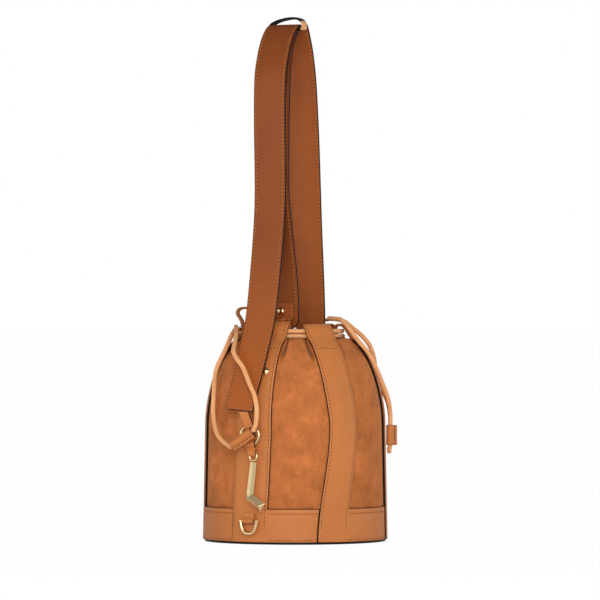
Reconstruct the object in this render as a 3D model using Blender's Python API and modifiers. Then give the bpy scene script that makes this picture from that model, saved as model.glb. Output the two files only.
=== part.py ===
"""Drawstring bucket bag in leather and suede, with a tall shoulder strap, a hook on the strap's tail
and two drawcords. Metres, +Z up, origin at the centre of the underside, front strap towards -Y.

Places on the bag are given by azimuth (0 = front, growing towards +X), radius and height. Strap and tail
use the strap frame: OUT points from the bag's axis to the ring-side panel, SIDE runs across the strap."""
import math

import bmesh
import bpy
from mathutils import Matrix, Vector

# ---------------------------------------------------------------- driving dimensions
BASE_RADIUS = 0.1005
WAIST_RADIUS = 0.098
WAIST_HEIGHT = 0.130
RIM_RADIUS = 0.054
RIM_HEIGHT = 0.230
SHOULDER_POWER = 1.7
BAND_HEIGHT = 0.0385
GAP = 0.0004

PANEL_THICKNESS = 0.0034
PANEL_PROUD = 0.0010
NARROW_PANEL = 0.035
WIDE_PANEL = 0.044
SUEDE_INSET = PANEL_THICKNESS + PANEL_PROUD / 2.0 + 2.0 * GAP
SUEDE_THICKNESS = 0.0014
LINING_THICKNESS = 0.0008
SUEDE_BOTTOM = 0.0046
SUEDE_TOP = 0.2255
BASE_PANEL_THICKNESS = 0.0016
BOARD_THICKNESS = 0.0020

STRAP_WIDTH = 0.040
STRAP_THICKNESS = 0.0026
STRAP_TIP = 0.0070
NEAR_CORNER = 0.0130
FAR_CORNER = 0.0060
ANCHOR_TOP = 0.2620
PIVOT_HEIGHT = 0.2525
PIVOT_OUT_NEAR = 0.0270
PIVOT_OUT_FAR = -0.0310

CORD_RADIUS = 0.0025
RIM_CORD_RADIUS = 0.0522
RIM_CORD_HEIGHTS = (0.2250, 0.2305)
CORD_EXIT_LEFT = -120.0
CORD_EXIT_RIGHT = 60.0

BASE_RING_HEIGHT = 0.0255
BASE_RING_RADIUS = 0.0098
BASE_RING_WIRE = 0.0013
BASE_RING_SHIFT = 0.0022
TAIL_RING_CENTRE = (0.1055, 0.0045, 0.1185)
TAIL_RING_RADIUS = 0.0108
EYE_RADIUS = 0.0045
EYE_WIRE = 0.0010
APEX_OUT = 0.0115
APEX_DEPTH = 0.0085
# (side, height) round the loop that holds the strap's runs together at the top
APEX_OUTLINE = ((-0.0120, 0.5595), (0.0000, 0.5592), (0.0120, 0.5595), (0.0205, 0.5605), (0.0215, 0.5640),
                (0.0205, 0.5690), (0.0160, 0.5730), (0.0090, 0.5745), (0.0010, 0.5742), (-0.0100, 0.5722),
                (-0.0185, 0.5690), (-0.0228, 0.5650), (-0.0235, 0.5605))
STUD_RADIUS = 0.0048
KEEPER_FLAG = 0.0030
KEEPER_SLIT = 0.0003
PANEL_STUD_AZIMUTH = -51.5
PANEL_STUD_HEIGHT = 0.187
TAIL_END_WIDTH = 0.0345

# panel name, azimuth, width, azimuth offsets at the base, the waist and the rim, kind of tunnel
PANELS = (
    ("panel_front", 0.0, NARROW_PANEL, (-6.0, 2.6, -2.4), "low"),
    ("panel_right", 60.0, NARROW_PANEL, (0.0, 0.0, 0.0), "low"),
    ("panel_far_side", 120.0, WIDE_PANEL, (0.0, 0.0, 0.0), "low"),
    ("panel_rear", 180.0, NARROW_PANEL, (0.0, 0.0, 0.0), "low"),
    ("panel_left", 240.0, NARROW_PANEL, (0.0, 0.0, 0.0), "tall"),
    ("panel_ring_side", 300.0, WIDE_PANEL, (-0.4, 2.0, 1.0), "strap"),
)

# (radius, height) of a panel's fold over the drawcords, down to the flap that is sewn inside
TUNNELS = {
    "low": ((0.0660, 0.2215), (0.0620, 0.2270), (0.0588, 0.2325), (0.0550, 0.2368), (0.0500, 0.2385),
            (0.0452, 0.2365), (0.0432, 0.2315), (0.0436, 0.2255), (0.0465, 0.2205), (0.0500, 0.2165),
            (0.0545, 0.2120)),
    "strap": ((0.0660, 0.2215), (0.0622, 0.2270), (0.0594, 0.2328), (0.0564, 0.2380), (0.0522, 0.2412),
              (0.0476, 0.2414), (0.0444, 0.2384), (0.0434, 0.2320), (0.0436, 0.2255), (0.0465, 0.2205),
              (0.0500, 0.2165), (0.0545, 0.2120)),
    "tall": ((0.0655, 0.2220), (0.0610, 0.2270), (0.0595, 0.2340), (0.0615, 0.2420), (0.0655, 0.2490),
             (0.0640, 0.2545), (0.0580, 0.2570), (0.0500, 0.2555), (0.0450, 0.2500), (0.0440, 0.2420),
             (0.0434, 0.2320), (0.0434, 0.2255), (0.0465, 0.2205), (0.0500, 0.2165), (0.0545, 0.2120)),
}

RING_SIDE_AZIMUTH = -60.0
OUT = Vector((math.sin(math.radians(RING_SIDE_AZIMUTH)), -math.cos(math.radians(RING_SIDE_AZIMUTH)), 0.0))
UP = Vector((0.0, 0.0, 1.0))
SIDE = UP.cross(OUT)

TAN = (0.53, 0.20, 0.072)
SUEDE = (0.47, 0.155, 0.045)
CORD_TAN = (0.60, 0.27, 0.11)
GOLD = (0.83, 0.64, 0.33)
BLACK = (0.012, 0.010, 0.010)
LINING = (0.30, 0.20, 0.12)


# ---------------------------------------------------------------- helpers
def clear_scene():
    for obj in list(bpy.data.objects):
        bpy.data.objects.remove(obj, do_unlink=True)


def make_collection(name):
    collection = bpy.data.collections.new(name)
    bpy.context.scene.collection.children.link(collection)
    return collection


def make_material(name, colour, roughness=0.5, metallic=0.0):
    material = bpy.data.materials.new(name)
    material.use_nodes = True
    shader = material.node_tree.nodes["Principled BSDF"]
    shader.inputs["Base Color"].default_value = (*colour, 1.0)
    shader.inputs["Roughness"].default_value = roughness
    shader.inputs["Metallic"].default_value = metallic
    material.diffuse_color = (*colour, 1.0)
    return material


def leather(name):
    return make_material(name + "_leather", TAN, 0.45)


def gold(name):
    return make_material(name + "_gold", GOLD, 0.18, 1.0)


def add_object(name, data, material):
    obj = bpy.data.objects.new(name, data)
    BAG.objects.link(obj)
    obj.data.materials.append(material)
    return obj


def object_from_bmesh(name, mesh_data, material, origin=Vector((0.0, 0.0, 0.0))):
    """Make an object whose origin is at the given place, from a bmesh in world coordinates."""
    bmesh.ops.translate(mesh_data, verts=mesh_data.verts, vec=-origin)
    mesh = bpy.data.meshes.new(name)
    mesh_data.to_mesh(mesh)
    mesh_data.free()
    mesh.shade_smooth()
    mesh.set_sharp_from_angle(angle=math.radians(35.0))
    obj = add_object(name, mesh, material)
    obj.location = origin
    return obj


def solidify(obj, thickness, offset=-1.0):
    modifier = obj.modifiers.new("thickness", "SOLIDIFY")
    modifier.thickness = thickness
    modifier.offset = offset
    modifier.use_even_offset = True
    return modifier


def polar(azimuth, radius, height):
    angle = math.radians(azimuth)
    return Vector((radius * math.sin(angle), -radius * math.cos(angle), height))


def strap_point(out, side, height):
    return OUT * out + SIDE * side + UP * height


def outer_radius(height):
    """Radius of the leather's outer face: a slight taper, then a rounded shoulder up to the rim."""
    if height <= WAIST_HEIGHT:
        return BASE_RADIUS + (WAIST_RADIUS - BASE_RADIUS) * height / WAIST_HEIGHT
    rise = min(1.0, (height - WAIST_HEIGHT) / (RIM_HEIGHT - WAIST_HEIGHT))
    fullness = (1.0 - rise ** SHOULDER_POWER) ** (1.0 / SHOULDER_POWER)
    return RIM_RADIUS + (WAIST_RADIUS - RIM_RADIUS) * fullness


def inner_profile(height, inset):
    """(radius, height) of a layer that lies the given distance inside the leather's outer face."""
    step = 0.0005
    slope = outer_radius(height + step) - outer_radius(height - step)
    normal = Vector((2.0 * step, -slope)).normalized()
    return outer_radius(height) - inset * normal.x, height - inset * normal.y


def panel_azimuth(panel, height):
    """Centre line of a panel: it leans a little between the base, the waist and the rim."""
    base, waist, rim = panel[3]
    if height <= WAIST_HEIGHT:
        share = height / WAIST_HEIGHT
        share = share * share * (3.0 - 2.0 * share)
        return panel[1] + base + (waist - base) * share
    share = min(1.0, (height - WAIST_HEIGHT) / (RIM_HEIGHT - WAIST_HEIGHT))
    return panel[1] + waist + (rim - waist) * share


def grid_faces(mesh_data, rows):
    for lower, upper in zip(rows, rows[1:]):
        for left in range(min(len(lower), len(upper)) - 1):
            mesh_data.faces.new((lower[left], lower[left + 1], upper[left + 1], upper[left]))


# ---------------------------------------------------------------- the bag's body
def shoulder_path():
    """(radius, height) along a panel's outer face from the base to just under its tunnel."""
    heights = (0.0020, 0.0200, BAND_HEIGHT, 0.070, 0.100, 0.130, 0.150, 0.165, 0.178, 0.190, 0.200, 0.209,
               0.216)
    return [(outer_radius(height), height) for height in heights]


def build_panel(index):
    """An L-shaped leather piece: upright strap, tunnel and its share of the base band."""
    panel = PANELS[index]
    following = PANELS[(index + 1) % len(PANELS)]
    turn = 360.0 if following[1] < panel[1] else 0.0
    strap_columns = 6
    band_columns = 6
    path = shoulder_path() + list(TUNNELS[panel[4]])
    mesh_data = bmesh.new()
    rows = []
    for step, (radius, height) in enumerate(path):
        in_tunnel = step >= len(shoulder_path())
        proud = 0.0 if in_tunnel else PANEL_PROUD * min(1.0, (len(shoulder_path()) - step) / 3.0)
        centre = panel_azimuth(panel, height)
        row = []
        for column in range(strap_columns + 1):
            across = panel[2] * (column / strap_columns - 0.5)
            azimuth = centre + math.degrees(across / max(radius, RIM_RADIUS))
            row.append(mesh_data.verts.new(polar(azimuth, radius + proud, height)))
        if height <= BAND_HEIGHT:
            right = centre + math.degrees(panel[2] / 2.0 / radius)
            end = panel_azimuth(following, height) + turn
            end -= math.degrees((following[2] / 2.0 + GAP) / radius)
            for column in range(1, band_columns + 1):
                share = column / band_columns
                azimuth = right + (end - right) * share
                band_radius = radius + proud * (1.0 - share) - PANEL_PROUD * 0.5 * share
                row.append(mesh_data.verts.new(polar(azimuth, band_radius, height)))
        rows.append(row)
    grid_faces(mesh_data, rows)
    obj = object_from_bmesh(panel[0], mesh_data, leather(panel[0]))
    solidify(obj, PANEL_THICKNESS)
    return obj


def cut_eyelet_hole(panel, azimuth):
    """Round hole through a panel's outer wall, where a drawcord leaves the rim."""
    place = polar(azimuth, 0.0610, 0.2290)
    direction = polar(azimuth, 1.0, 0.45).normalized()
    mesh_data = bmesh.new()
    bmesh.ops.create_cone(mesh_data, cap_ends=True, segments=20, radius1=0.0050, radius2=0.0050, depth=0.012)
    turn = UP.rotation_difference(direction).to_matrix().to_4x4()
    bmesh.ops.transform(mesh_data, verts=mesh_data.verts, matrix=Matrix.Translation(place) @ turn)
    mesh = bpy.data.meshes.new("eyelet_cutter")
    mesh_data.to_mesh(mesh)
    mesh_data.free()
    cutter = bpy.data.objects.new("eyelet_cutter", mesh)
    CUTTERS.objects.link(cutter)
    cutter.hide_render = True
    cutter.display_type = "WIRE"
    modifier = panel.modifiers.new("eyelet hole", "BOOLEAN")
    modifier.operation = "DIFFERENCE"
    modifier.solver = "EXACT"
    modifier.object = cutter


def build_gore(index):
    """One suede gore between the centre lines of two neighbouring panels."""
    panel = PANELS[index]
    following = PANELS[(index + 1) % len(PANELS)]
    turn = 360.0 if following[1] < panel[1] else 0.0
    heights = [SUEDE_BOTTOM, 0.045, 0.085, 0.120, 0.145, 0.165, 0.182, 0.196, 0.208, 0.217, SUEDE_TOP]
    columns = 10
    mesh_data = bmesh.new()
    rows = []
    for height in heights:
        radius, layer_height = inner_profile(height, SUEDE_INSET)
        seam = math.degrees(GAP / 2.0 / radius)
        start = panel_azimuth(panel, height) + seam
        end = panel_azimuth(following, height) + turn - seam
        row = []
        for column in range(columns + 1):
            azimuth = start + (end - start) * column / columns
            row.append(mesh_data.verts.new(polar(azimuth, radius, layer_height)))
        rows.append(row)
    grid_faces(mesh_data, rows)
    name = "suede_gore_%d" % (index + 1)
    obj = object_from_bmesh(name, mesh_data, make_material(name + "_suede", SUEDE, 0.95))
    solidify(obj, SUEDE_THICKNESS)


def build_disc(name, radius, bottom, thickness, material, segments=64):
    mesh_data = bmesh.new()
    bmesh.ops.create_cone(mesh_data, cap_ends=True, segments=segments, radius1=radius, radius2=radius,
                          depth=thickness)
    bmesh.ops.translate(mesh_data, verts=mesh_data.verts, vec=(0.0, 0.0, bottom + thickness / 2.0))
    return object_from_bmesh(name, mesh_data, material)


def build_lining():
    """Lining bag: a turned cup inside the suede, open at the rim."""
    inset = SUEDE_INSET + SUEDE_THICKNESS + 2.0 * GAP
    heights = [SUEDE_TOP, 0.217, 0.208, 0.196, 0.182, 0.165, 0.145, 0.120, 0.060, SUEDE_BOTTOM]
    mesh_data = bmesh.new()
    profile = []
    for height in heights:
        radius, layer_height = inner_profile(height, inset)
        profile.append(Vector((radius, 0.0, layer_height)))
    profile.append(Vector((0.0, 0.0, profile[-1].z)))
    verts = [mesh_data.verts.new(point) for point in profile]
    for first, second in zip(verts, verts[1:]):
        mesh_data.edges.new((first, second))
    obj = object_from_bmesh("lining_bag", mesh_data, make_material("lining_cloth", LINING, 0.9))
    screw = obj.modifiers.new("turn", "SCREW")
    screw.steps = 30
    screw.render_steps = 30
    screw.use_merge_vertices = True
    screw.merge_threshold = 0.0001
    solidify(obj, LINING_THICKNESS)


# ---------------------------------------------------------------- ribbons, cords and rings
def smooth_path(points, per_span):
    """Catmull-Rom curve through the points."""
    padded = [points[0] * 2.0 - points[1]] + list(points) + [points[-1] * 2.0 - points[-2]]
    result = []
    for before, start, end, after in zip(padded, padded[1:], padded[2:], padded[3:]):
        for step in range(per_span):
            t = step / per_span
            result.append(0.5 * (start * 2.0 + (end - before) * t
                                 + (before * 2.0 - start * 5.0 + end * 4.0 - after) * t * t
                                 + (start * 3.0 - before - end * 3.0 + after) * t ** 3))
    result.append(points[-1])
    return result


def closed_path(points, per_span):
    """Catmull-Rom curve through the points and back to the first."""
    looped = smooth_path([points[-1]] + list(points) + list(points[:2]), per_span)
    return looped[per_span:-1 - per_span]


def build_ribbon(name, centre_line, width, thickness, origin, corner=0.0, end_width=None):
    """Flat leather strap along a centre line, as wide as given across SIDE, or tapering to end_width. The
    corners at the line's start are rounded with the given radius."""
    mesh_data = bmesh.new()
    columns = 4
    rows = []
    travelled = 0.0
    previous = centre_line[0]
    for index, point in enumerate(centre_line):
        travelled += (point - previous).length
        previous = point
        half = width / 2.0
        if end_width:
            half += (end_width - width) / 2.0 * (index / (len(centre_line) - 1)) ** 2
        if travelled < corner:
            half += math.sqrt(max(0.0, corner ** 2 - (corner - travelled) ** 2)) - corner
            half = max(STRAP_TIP / 2.0, half)
        row = []
        for column in range(columns + 1):
            row.append(mesh_data.verts.new(point + SIDE * half * (2.0 * column / columns - 1.0)))
        rows.append(row)
    grid_faces(mesh_data, rows)
    obj = object_from_bmesh(name, mesh_data, leather(name), origin)
    solidify(obj, thickness, 0.0)
    return obj


def build_tube(name, points, radius, material, origin=Vector((0.0, 0.0, 0.0)), cyclic=False, sides=2):
    curve = bpy.data.curves.new(name, "CURVE")
    curve.dimensions = "3D"
    curve.bevel_depth = radius
    curve.bevel_resolution = sides
    curve.use_fill_caps = not cyclic
    spline = curve.splines.new("POLY")
    spline.points.add(len(points) - 1)
    for target, point in zip(spline.points, points):
        target.co = (*(point - origin), 1.0)
    spline.use_cyclic_u = cyclic
    obj = add_object(name, curve, material)
    obj.location = origin
    return obj


def build_torus(name, centre, axis, major, minor, material, segments=32, sides=10):
    bpy.ops.mesh.primitive_torus_add(major_radius=major, minor_radius=minor, major_segments=segments,
                                     minor_segments=sides)
    obj = bpy.context.object
    for collection in list(obj.users_collection):
        collection.objects.unlink(obj)
    BAG.objects.link(obj)
    obj.name = name
    obj.data.name = name
    obj.rotation_mode = "QUATERNION"
    obj.rotation_quaternion = UP.rotation_difference(axis)
    obj.location = centre
    obj.data.materials.append(material)
    obj.data.shade_smooth()
    return obj


# ---------------------------------------------------------------- shoulder strap
def near_leg_line():
    places = ((0.252 - STRAP_WIDTH / 2.0, 0.0270), (0.240, 0.0270), (0.252, 0.0270), (0.270, 0.0275),
              (0.300, 0.0320), (0.331, 0.0385), (0.385, 0.0480), (0.440, 0.0480), (0.495, 0.0460),
              (0.528, 0.0420), (0.548, 0.0355), (0.5585, 0.0265))
    return smooth_path([strap_point(out, 0.0, height) for height, out in places], 2)


def far_leg_line():
    places = ((0.2325, -0.0310), (0.241, -0.0310), (0.2525, -0.0310), (0.285, -0.0290), (0.339, -0.0246),
              (0.384, -0.0216), (0.440, -0.0180), (0.501, -0.0120), (0.535, -0.0050), (0.5575, 0.0034),
              (0.5665, 0.0080))
    return smooth_path([strap_point(out, 0.0, height) for height, out in places], 2)


def build_strap():
    pivot = strap_point(0.0, 0.0, PIVOT_HEIGHT)
    build_ribbon("strap_near_leg", near_leg_line(), STRAP_WIDTH, STRAP_THICKNESS, pivot, NEAR_CORNER)
    build_ribbon("strap_far_leg", far_leg_line(), STRAP_WIDTH, STRAP_THICKNESS, pivot, FAR_CORNER)
    loop = closed_path([Vector((side, height)) for side, height in APEX_OUTLINE], 2)
    mesh_data = bmesh.new()
    rows = []
    for out in (APEX_OUT, APEX_OUT + APEX_DEPTH):
        rows.append([mesh_data.verts.new(strap_point(out, side, height)) for side, height in loop])
    count = len(loop)
    for index in range(count):
        following = (index + 1) % count
        mesh_data.faces.new((rows[0][index], rows[0][following], rows[1][following], rows[1][index]))
    obj = object_from_bmesh("apex_loop", mesh_data, make_material("apex_loop_edge", BLACK, 0.4), pivot)
    solidify(obj, 0.0024)


def build_anchor(name, out_rim, rim_height, out_pivot, sign):
    """Leather tab from a panel's tunnel up to the strap's pivot, beside the strap's round end."""
    clear = sign * (STRAP_THICKNESS + GAP)
    foot = out_pivot + clear
    places = ((out_rim, rim_height), (out_rim - sign * 0.006, rim_height + 0.0007),
              (foot + sign * 0.006, rim_height + 0.0002), (foot + sign * 0.0005, rim_height + 0.0042),
              (foot, (rim_height + 0.0042 + ANCHOR_TOP) / 2.0), (foot, ANCHOR_TOP))
    line = smooth_path([strap_point(out, 0.0, height) for out, height in places], 3)
    build_ribbon(name, line, 0.030, 0.0024, strap_point(0.0, 0.0, 0.0))


def build_stud(name, place, facing):
    """Domed stud: a low turned head that faces the given way."""
    mesh_data = bmesh.new()
    profile = ((0.0, 0.0034), (0.0022, 0.0030), (0.0040, 0.0018), (STUD_RADIUS, 0.0), (0.0, 0.0))
    verts = [mesh_data.verts.new((x, 0.0, z)) for x, z in profile]
    for first, second in zip(verts, verts[1:]):
        mesh_data.edges.new((first, second))
    obj = object_from_bmesh(name, mesh_data, gold(name))
    screw = obj.modifiers.new("turn", "SCREW")
    screw.steps = 20
    screw.render_steps = 20
    screw.use_merge_vertices = True
    screw.merge_threshold = 0.0001
    obj.rotation_mode = "QUATERNION"
    obj.rotation_quaternion = UP.rotation_difference(facing)
    obj.location = place


def build_studs():
    """Two studs hold the strap's ends, and a third sits on the ring-side panel behind the tail."""
    stud_lift = STRAP_THICKNESS * 1.6 + GAP
    build_stud("strap_stud_near", strap_point(PIVOT_OUT_NEAR + stud_lift, 0.0, PIVOT_HEIGHT), OUT)
    build_stud("strap_stud_far", strap_point(PIVOT_OUT_FAR - stud_lift, 0.0, PIVOT_HEIGHT), -OUT)
    radius, height = inner_profile(PANEL_STUD_HEIGHT, -(PANEL_PROUD + GAP))
    facing = polar(PANEL_STUD_AZIMUTH, radius - outer_radius(PANEL_STUD_HEIGHT), height - PANEL_STUD_HEIGHT)
    build_stud("panel_stud", polar(PANEL_STUD_AZIMUTH, radius, height), facing.normalized())


# ---------------------------------------------------------------- strap tail, ring and hook
def tail_line():
    places = ((0.5655, 0.0225, 0.0), (0.5610, 0.0300, 0.0), (0.5490, 0.0400, 0.0), (0.5320, 0.0480, 0.0),
              (0.5070, 0.0545, 0.0), (0.4600, 0.0560, 0.0), (0.3850, 0.0545, 0.0), (0.3400, 0.0580, 0.0),
              (0.2900, 0.0660, 0.0), (0.2450, 0.0755, 0.0), (0.2080, 0.0875, -0.0020),
              (0.1850, 0.0965, -0.0030), (0.1640, 0.1045, -0.0045), (0.1450, 0.1105, -0.0060))
    return smooth_path([strap_point(out, side, height) for height, out, side in places], 2)


def ring_arc(centre, radius, start, end, steps):
    """Points of an arc around OUT, in the plane of SIDE and UP."""
    result = []
    for step in range(steps + 1):
        angle = math.radians(start + (end - start) * step / steps)
        result.append(centre + SIDE * radius * math.cos(angle) + UP * radius * math.sin(angle))
    return result


def build_tail():
    origin = strap_point(0.0260, 0.0, 0.5620)
    build_ribbon("strap_tail", tail_line(), STRAP_WIDTH, STRAP_THICKNESS, origin, 0.0, TAIL_END_WIDTH)
    centre = strap_point(*TAIL_RING_CENTRE)
    top = TAIL_RING_CENTRE[2] + TAIL_RING_RADIUS
    out, side = TAIL_RING_CENTRE[0], TAIL_RING_CENTRE[1]
    tab = [(0.1095, side - 0.006, 0.1440), (out + 0.0042, side - 0.002, top + 0.006)]
    for step in range(9):
        angle = math.radians(20.0 - 27.5 * step)
        tab.append((out + 0.0037 * math.cos(angle), side, top - 0.0009 + 0.0037 * math.sin(angle)))
    tab.append((out - 0.0040, side, top + 0.0070))
    line = [strap_point(*place) for place in tab]
    build_ribbon("tail_tab", line, 0.0120, 0.0016, origin)
    build_torus("tail_ring", centre, OUT, TAIL_RING_RADIUS, 0.00145, gold("tail_ring"), 36, 8)


def hook_frame():
    """Top and bottom of the hook's stem and the end of its foot."""
    top = strap_point(0.1075, 0.0098, 0.0895)
    bottom = strap_point(0.1075, 0.0050, 0.0510)
    toe = strap_point(0.1110, 0.0228, 0.0402)
    return top, bottom, toe


def prism_section(centre, along, outward, size):
    """Triangle across the direction along, one corner pointing outward."""
    across = along.cross(outward).normalized()
    facing = across.cross(along).normalized()
    return [centre + facing * size * 0.62, centre + across * size * 0.56 - facing * size * 0.38,
            centre - across * size * 0.56 - facing * size * 0.38]


def eye_centre():
    return hook_frame()[0] + UP * (EYE_RADIUS + EYE_WIRE + GAP)


def build_hook():
    """Angular hook: a triangular bar that turns at its foot, mitred at the corner."""
    top, bottom, toe = hook_frame()
    stem = (bottom - top).normalized()
    foot = (toe - bottom).normalized()
    size = 0.0078
    middle = (stem + foot).normalized()
    stretch = 1.0 / max(0.5, middle.dot(stem))
    sections = [prism_section(top, stem, OUT, size * 0.9), prism_section(bottom, middle, OUT, size * stretch),
                prism_section(toe, foot, OUT, size * 1.15)]
    mesh_data = bmesh.new()
    rows = [[mesh_data.verts.new(point) for point in section] for section in sections]
    for lower, upper in zip(rows, rows[1:]):
        for corner in range(3):
            following = (corner + 1) % 3
            mesh_data.faces.new((lower[corner], lower[following], upper[following], upper[corner]))
    mesh_data.faces.new(list(reversed(rows[0])))
    mesh_data.faces.new(rows[-1])
    bmesh.ops.recalc_face_normals(mesh_data, faces=mesh_data.faces)
    obj = object_from_bmesh("hook", mesh_data, gold("hook"), top)
    bevel = obj.modifiers.new("soft edges", "BEVEL")
    bevel.width = 0.0004
    bevel.segments = 1
    bevel.limit_method = "ANGLE"
    build_torus("hook_eye", eye_centre(), OUT, EYE_RADIUS, EYE_WIRE, gold("hook_eye"), 24, 8)


def build_hook_tab():
    """Leather tab between the round ring and the hook's eye, wrapped around both."""
    out, side, height = TAIL_RING_CENTRE
    ring_low = height - TAIL_RING_RADIUS + 0.0008
    eye = eye_centre()
    eye_high = eye.z + EYE_RADIUS - 0.0006
    eye_side = eye.dot(SIDE)
    lean = (eye_side - side) * 0.3
    places = []
    for step in range(9):
        angle = math.radians(150.0 - 27.5 * step)
        shift = lean * max(0.0, (step - 4) / 4.0)
        places.append((out + 0.0034 * math.cos(angle), side + shift, ring_low + 0.0034 * math.sin(angle)))
    for step in range(9):
        angle = math.radians(70.0 - 27.5 * step)
        shift = lean * max(0.0, (4 - step) / 4.0)
        places.append((eye.dot(OUT) + 0.0032 * math.cos(angle), eye_side - shift,
                       eye_high + 0.0032 * math.sin(angle)))
    places.insert(9, tuple((low + high) / 2.0 for low, high in zip(places[8], places[9])))
    origin = strap_point(out, side, height - TAIL_RING_RADIUS)
    build_ribbon("hook_tab", [strap_point(*place) for place in places], 0.0110, 0.0014, origin, 0.0, 0.0048)


# ---------------------------------------------------------------- base D-rings
def build_base_ring(suffix, sign):
    """D-ring on a cross pin, and the leather tab that wraps the pin."""
    out = outer_radius(BASE_RING_HEIGHT) + PANEL_PROUD
    side = BASE_RING_SHIFT if sign > 0.0 else 0.0
    pin = strap_point(sign * (out + 0.0034), side, BASE_RING_HEIGHT)
    facing = OUT * sign
    points = []
    for step in range(21):
        angle = math.radians(180.0 + 180.0 * step / 20)
        drop = BASE_RING_RADIUS * (1.35 if angle > math.pi else 1.0) * math.sin(angle)
        points.append(pin + SIDE * BASE_RING_RADIUS * math.cos(angle) + UP * drop)
    build_tube("base_ring_" + suffix, points, BASE_RING_WIRE, gold("base_ring_" + suffix), pin, cyclic=True)
    line = [strap_point(sign * (out + 0.0015), side, BASE_RING_HEIGHT + 0.0085),
            strap_point(sign * (out + 0.0018), side, BASE_RING_HEIGHT + 0.0045)]
    for step in range(8):
        angle = math.radians(120.0 - 35.0 * step)
        line.append(pin + facing * 0.0024 * math.cos(angle) + UP * 0.0024 * math.sin(angle))
    build_ribbon("base_ring_tab_" + suffix, line, 0.0125, 0.0013, strap_point(0.0, 0.0, 0.0))


# ---------------------------------------------------------------- drawcords
def build_rim_cord(name, exit_azimuth, height):
    """The run of a drawcord around the rim inside the tunnels."""
    steps = 40
    points = []
    for step in range(steps + 1):
        azimuth = exit_azimuth + 9.0 + (360.0 - 18.0) * step / steps
        points.append(polar(azimuth, RIM_CORD_RADIUS, height))
    build_tube(name, points, CORD_RADIUS, make_material(name, CORD_TAN, 0.5))


def left_cord_points():
    down = ((0.0310, -0.0585, 0.2320), (0.0500, -0.0510, 0.2270), (0.0690, -0.0480, 0.2110),
            (0.0760, -0.0560, 0.1870), (0.0885, -0.0515, 0.1600), (0.0910, -0.0505, 0.1430),
            (0.0970, -0.0455, 0.1310), (0.1050, -0.0370, 0.1190), (0.1110, -0.0255, 0.1106),
            (0.1150, -0.0145, 0.1062))
    up = ((0.1165, 0.0155, 0.1245), (0.1165, 0.0185, 0.1320), (0.1155, 0.0187, 0.1470),
          (0.1125, 0.0140, 0.1620), (0.1085, 0.0055, 0.1740), (0.1035, -0.0050, 0.1906),
          (0.1015, -0.0130, 0.1990), (0.0965, -0.0215, 0.2085), (0.0830, -0.0275, 0.2190),
          (0.0680, -0.0350, 0.2285), (0.0530, -0.0440, 0.2345), (0.0390, -0.0530, 0.2350))
    return down, up


def build_left_cord():
    down, up = left_cord_points()
    origin = strap_point(0.0340, -0.0520, 0.2330)
    start = strap_point(*down[-1])
    end = strap_point(*up[0])
    inside = [start.lerp(end, 0.06), start.lerp(end, 0.94)]
    places = [strap_point(*place) for place in down] + inside + [strap_point(*place) for place in up]
    build_tube("cord_left_loop", smooth_path(places, 2), CORD_RADIUS,
               make_material("cord_left_loop", CORD_TAN, 0.5), origin)
    build_keeper("keeper_left", inside[0], inside[1], OUT, 0.0, origin)


def right_point(out, across, height):
    return polar(CORD_EXIT_RIGHT, out, height) + polar(CORD_EXIT_RIGHT + 90.0, across, 0.0)


def right_cord_points():
    down = ((0.0365, 0.0010, 0.2440), (0.0440, -0.0080, 0.2436), (0.0510, -0.0152, 0.2424),
            (0.0600, -0.0210, 0.2322), (0.0690, -0.0208, 0.2200), (0.0805, -0.0185, 0.2060),
            (0.0875, -0.0150, 0.1925), (0.0952, -0.0100, 0.1743), (0.1020, -0.0055, 0.1560),
            (0.1045, -0.0031, 0.1400), (0.1045, -0.0031, 0.1200), (0.1045, -0.0031, 0.1050))
    bend = []
    for step in range(1, 6):
        angle = math.pi * step / 6.0
        bend.append((0.1035, -0.0031 * math.cos(angle), 0.1050 - 0.0070 * math.sin(angle)))
    up = ((0.1045, 0.0031, 0.1050), (0.1045, 0.0031, 0.1200), (0.1045, 0.0031, 0.1370),
          (0.1015, 0.0095, 0.1530), (0.0945, 0.0190, 0.1680), (0.0905, 0.0237, 0.1790),
          (0.0885, 0.0235, 0.1886), (0.0868, 0.0215, 0.2013), (0.0820, 0.0185, 0.2144),
          (0.0737, 0.0160, 0.2249), (0.0640, 0.0140, 0.2330), (0.0560, 0.0130, 0.2395),
          (0.0480, 0.0120, 0.2430), (0.0370, 0.0100, 0.2445))
    return down, bend, up


def build_right_cord():
    down, bend, up = right_cord_points()
    origin = right_point(0.0365, 0.0070, 0.2435)
    points = [right_point(*place) for place in down + tuple(bend) + up]
    build_tube("cord_right_loop", smooth_path(points, 2), CORD_RADIUS,
               make_material("cord_right_loop", CORD_TAN, 0.5), origin)
    build_keeper("keeper_right", right_point(0.1045, 0.0, 0.1050), right_point(0.1045, 0.0, 0.1270),
                 polar(CORD_EXIT_RIGHT, 1.0, 0.0), 0.0031, origin)


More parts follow.
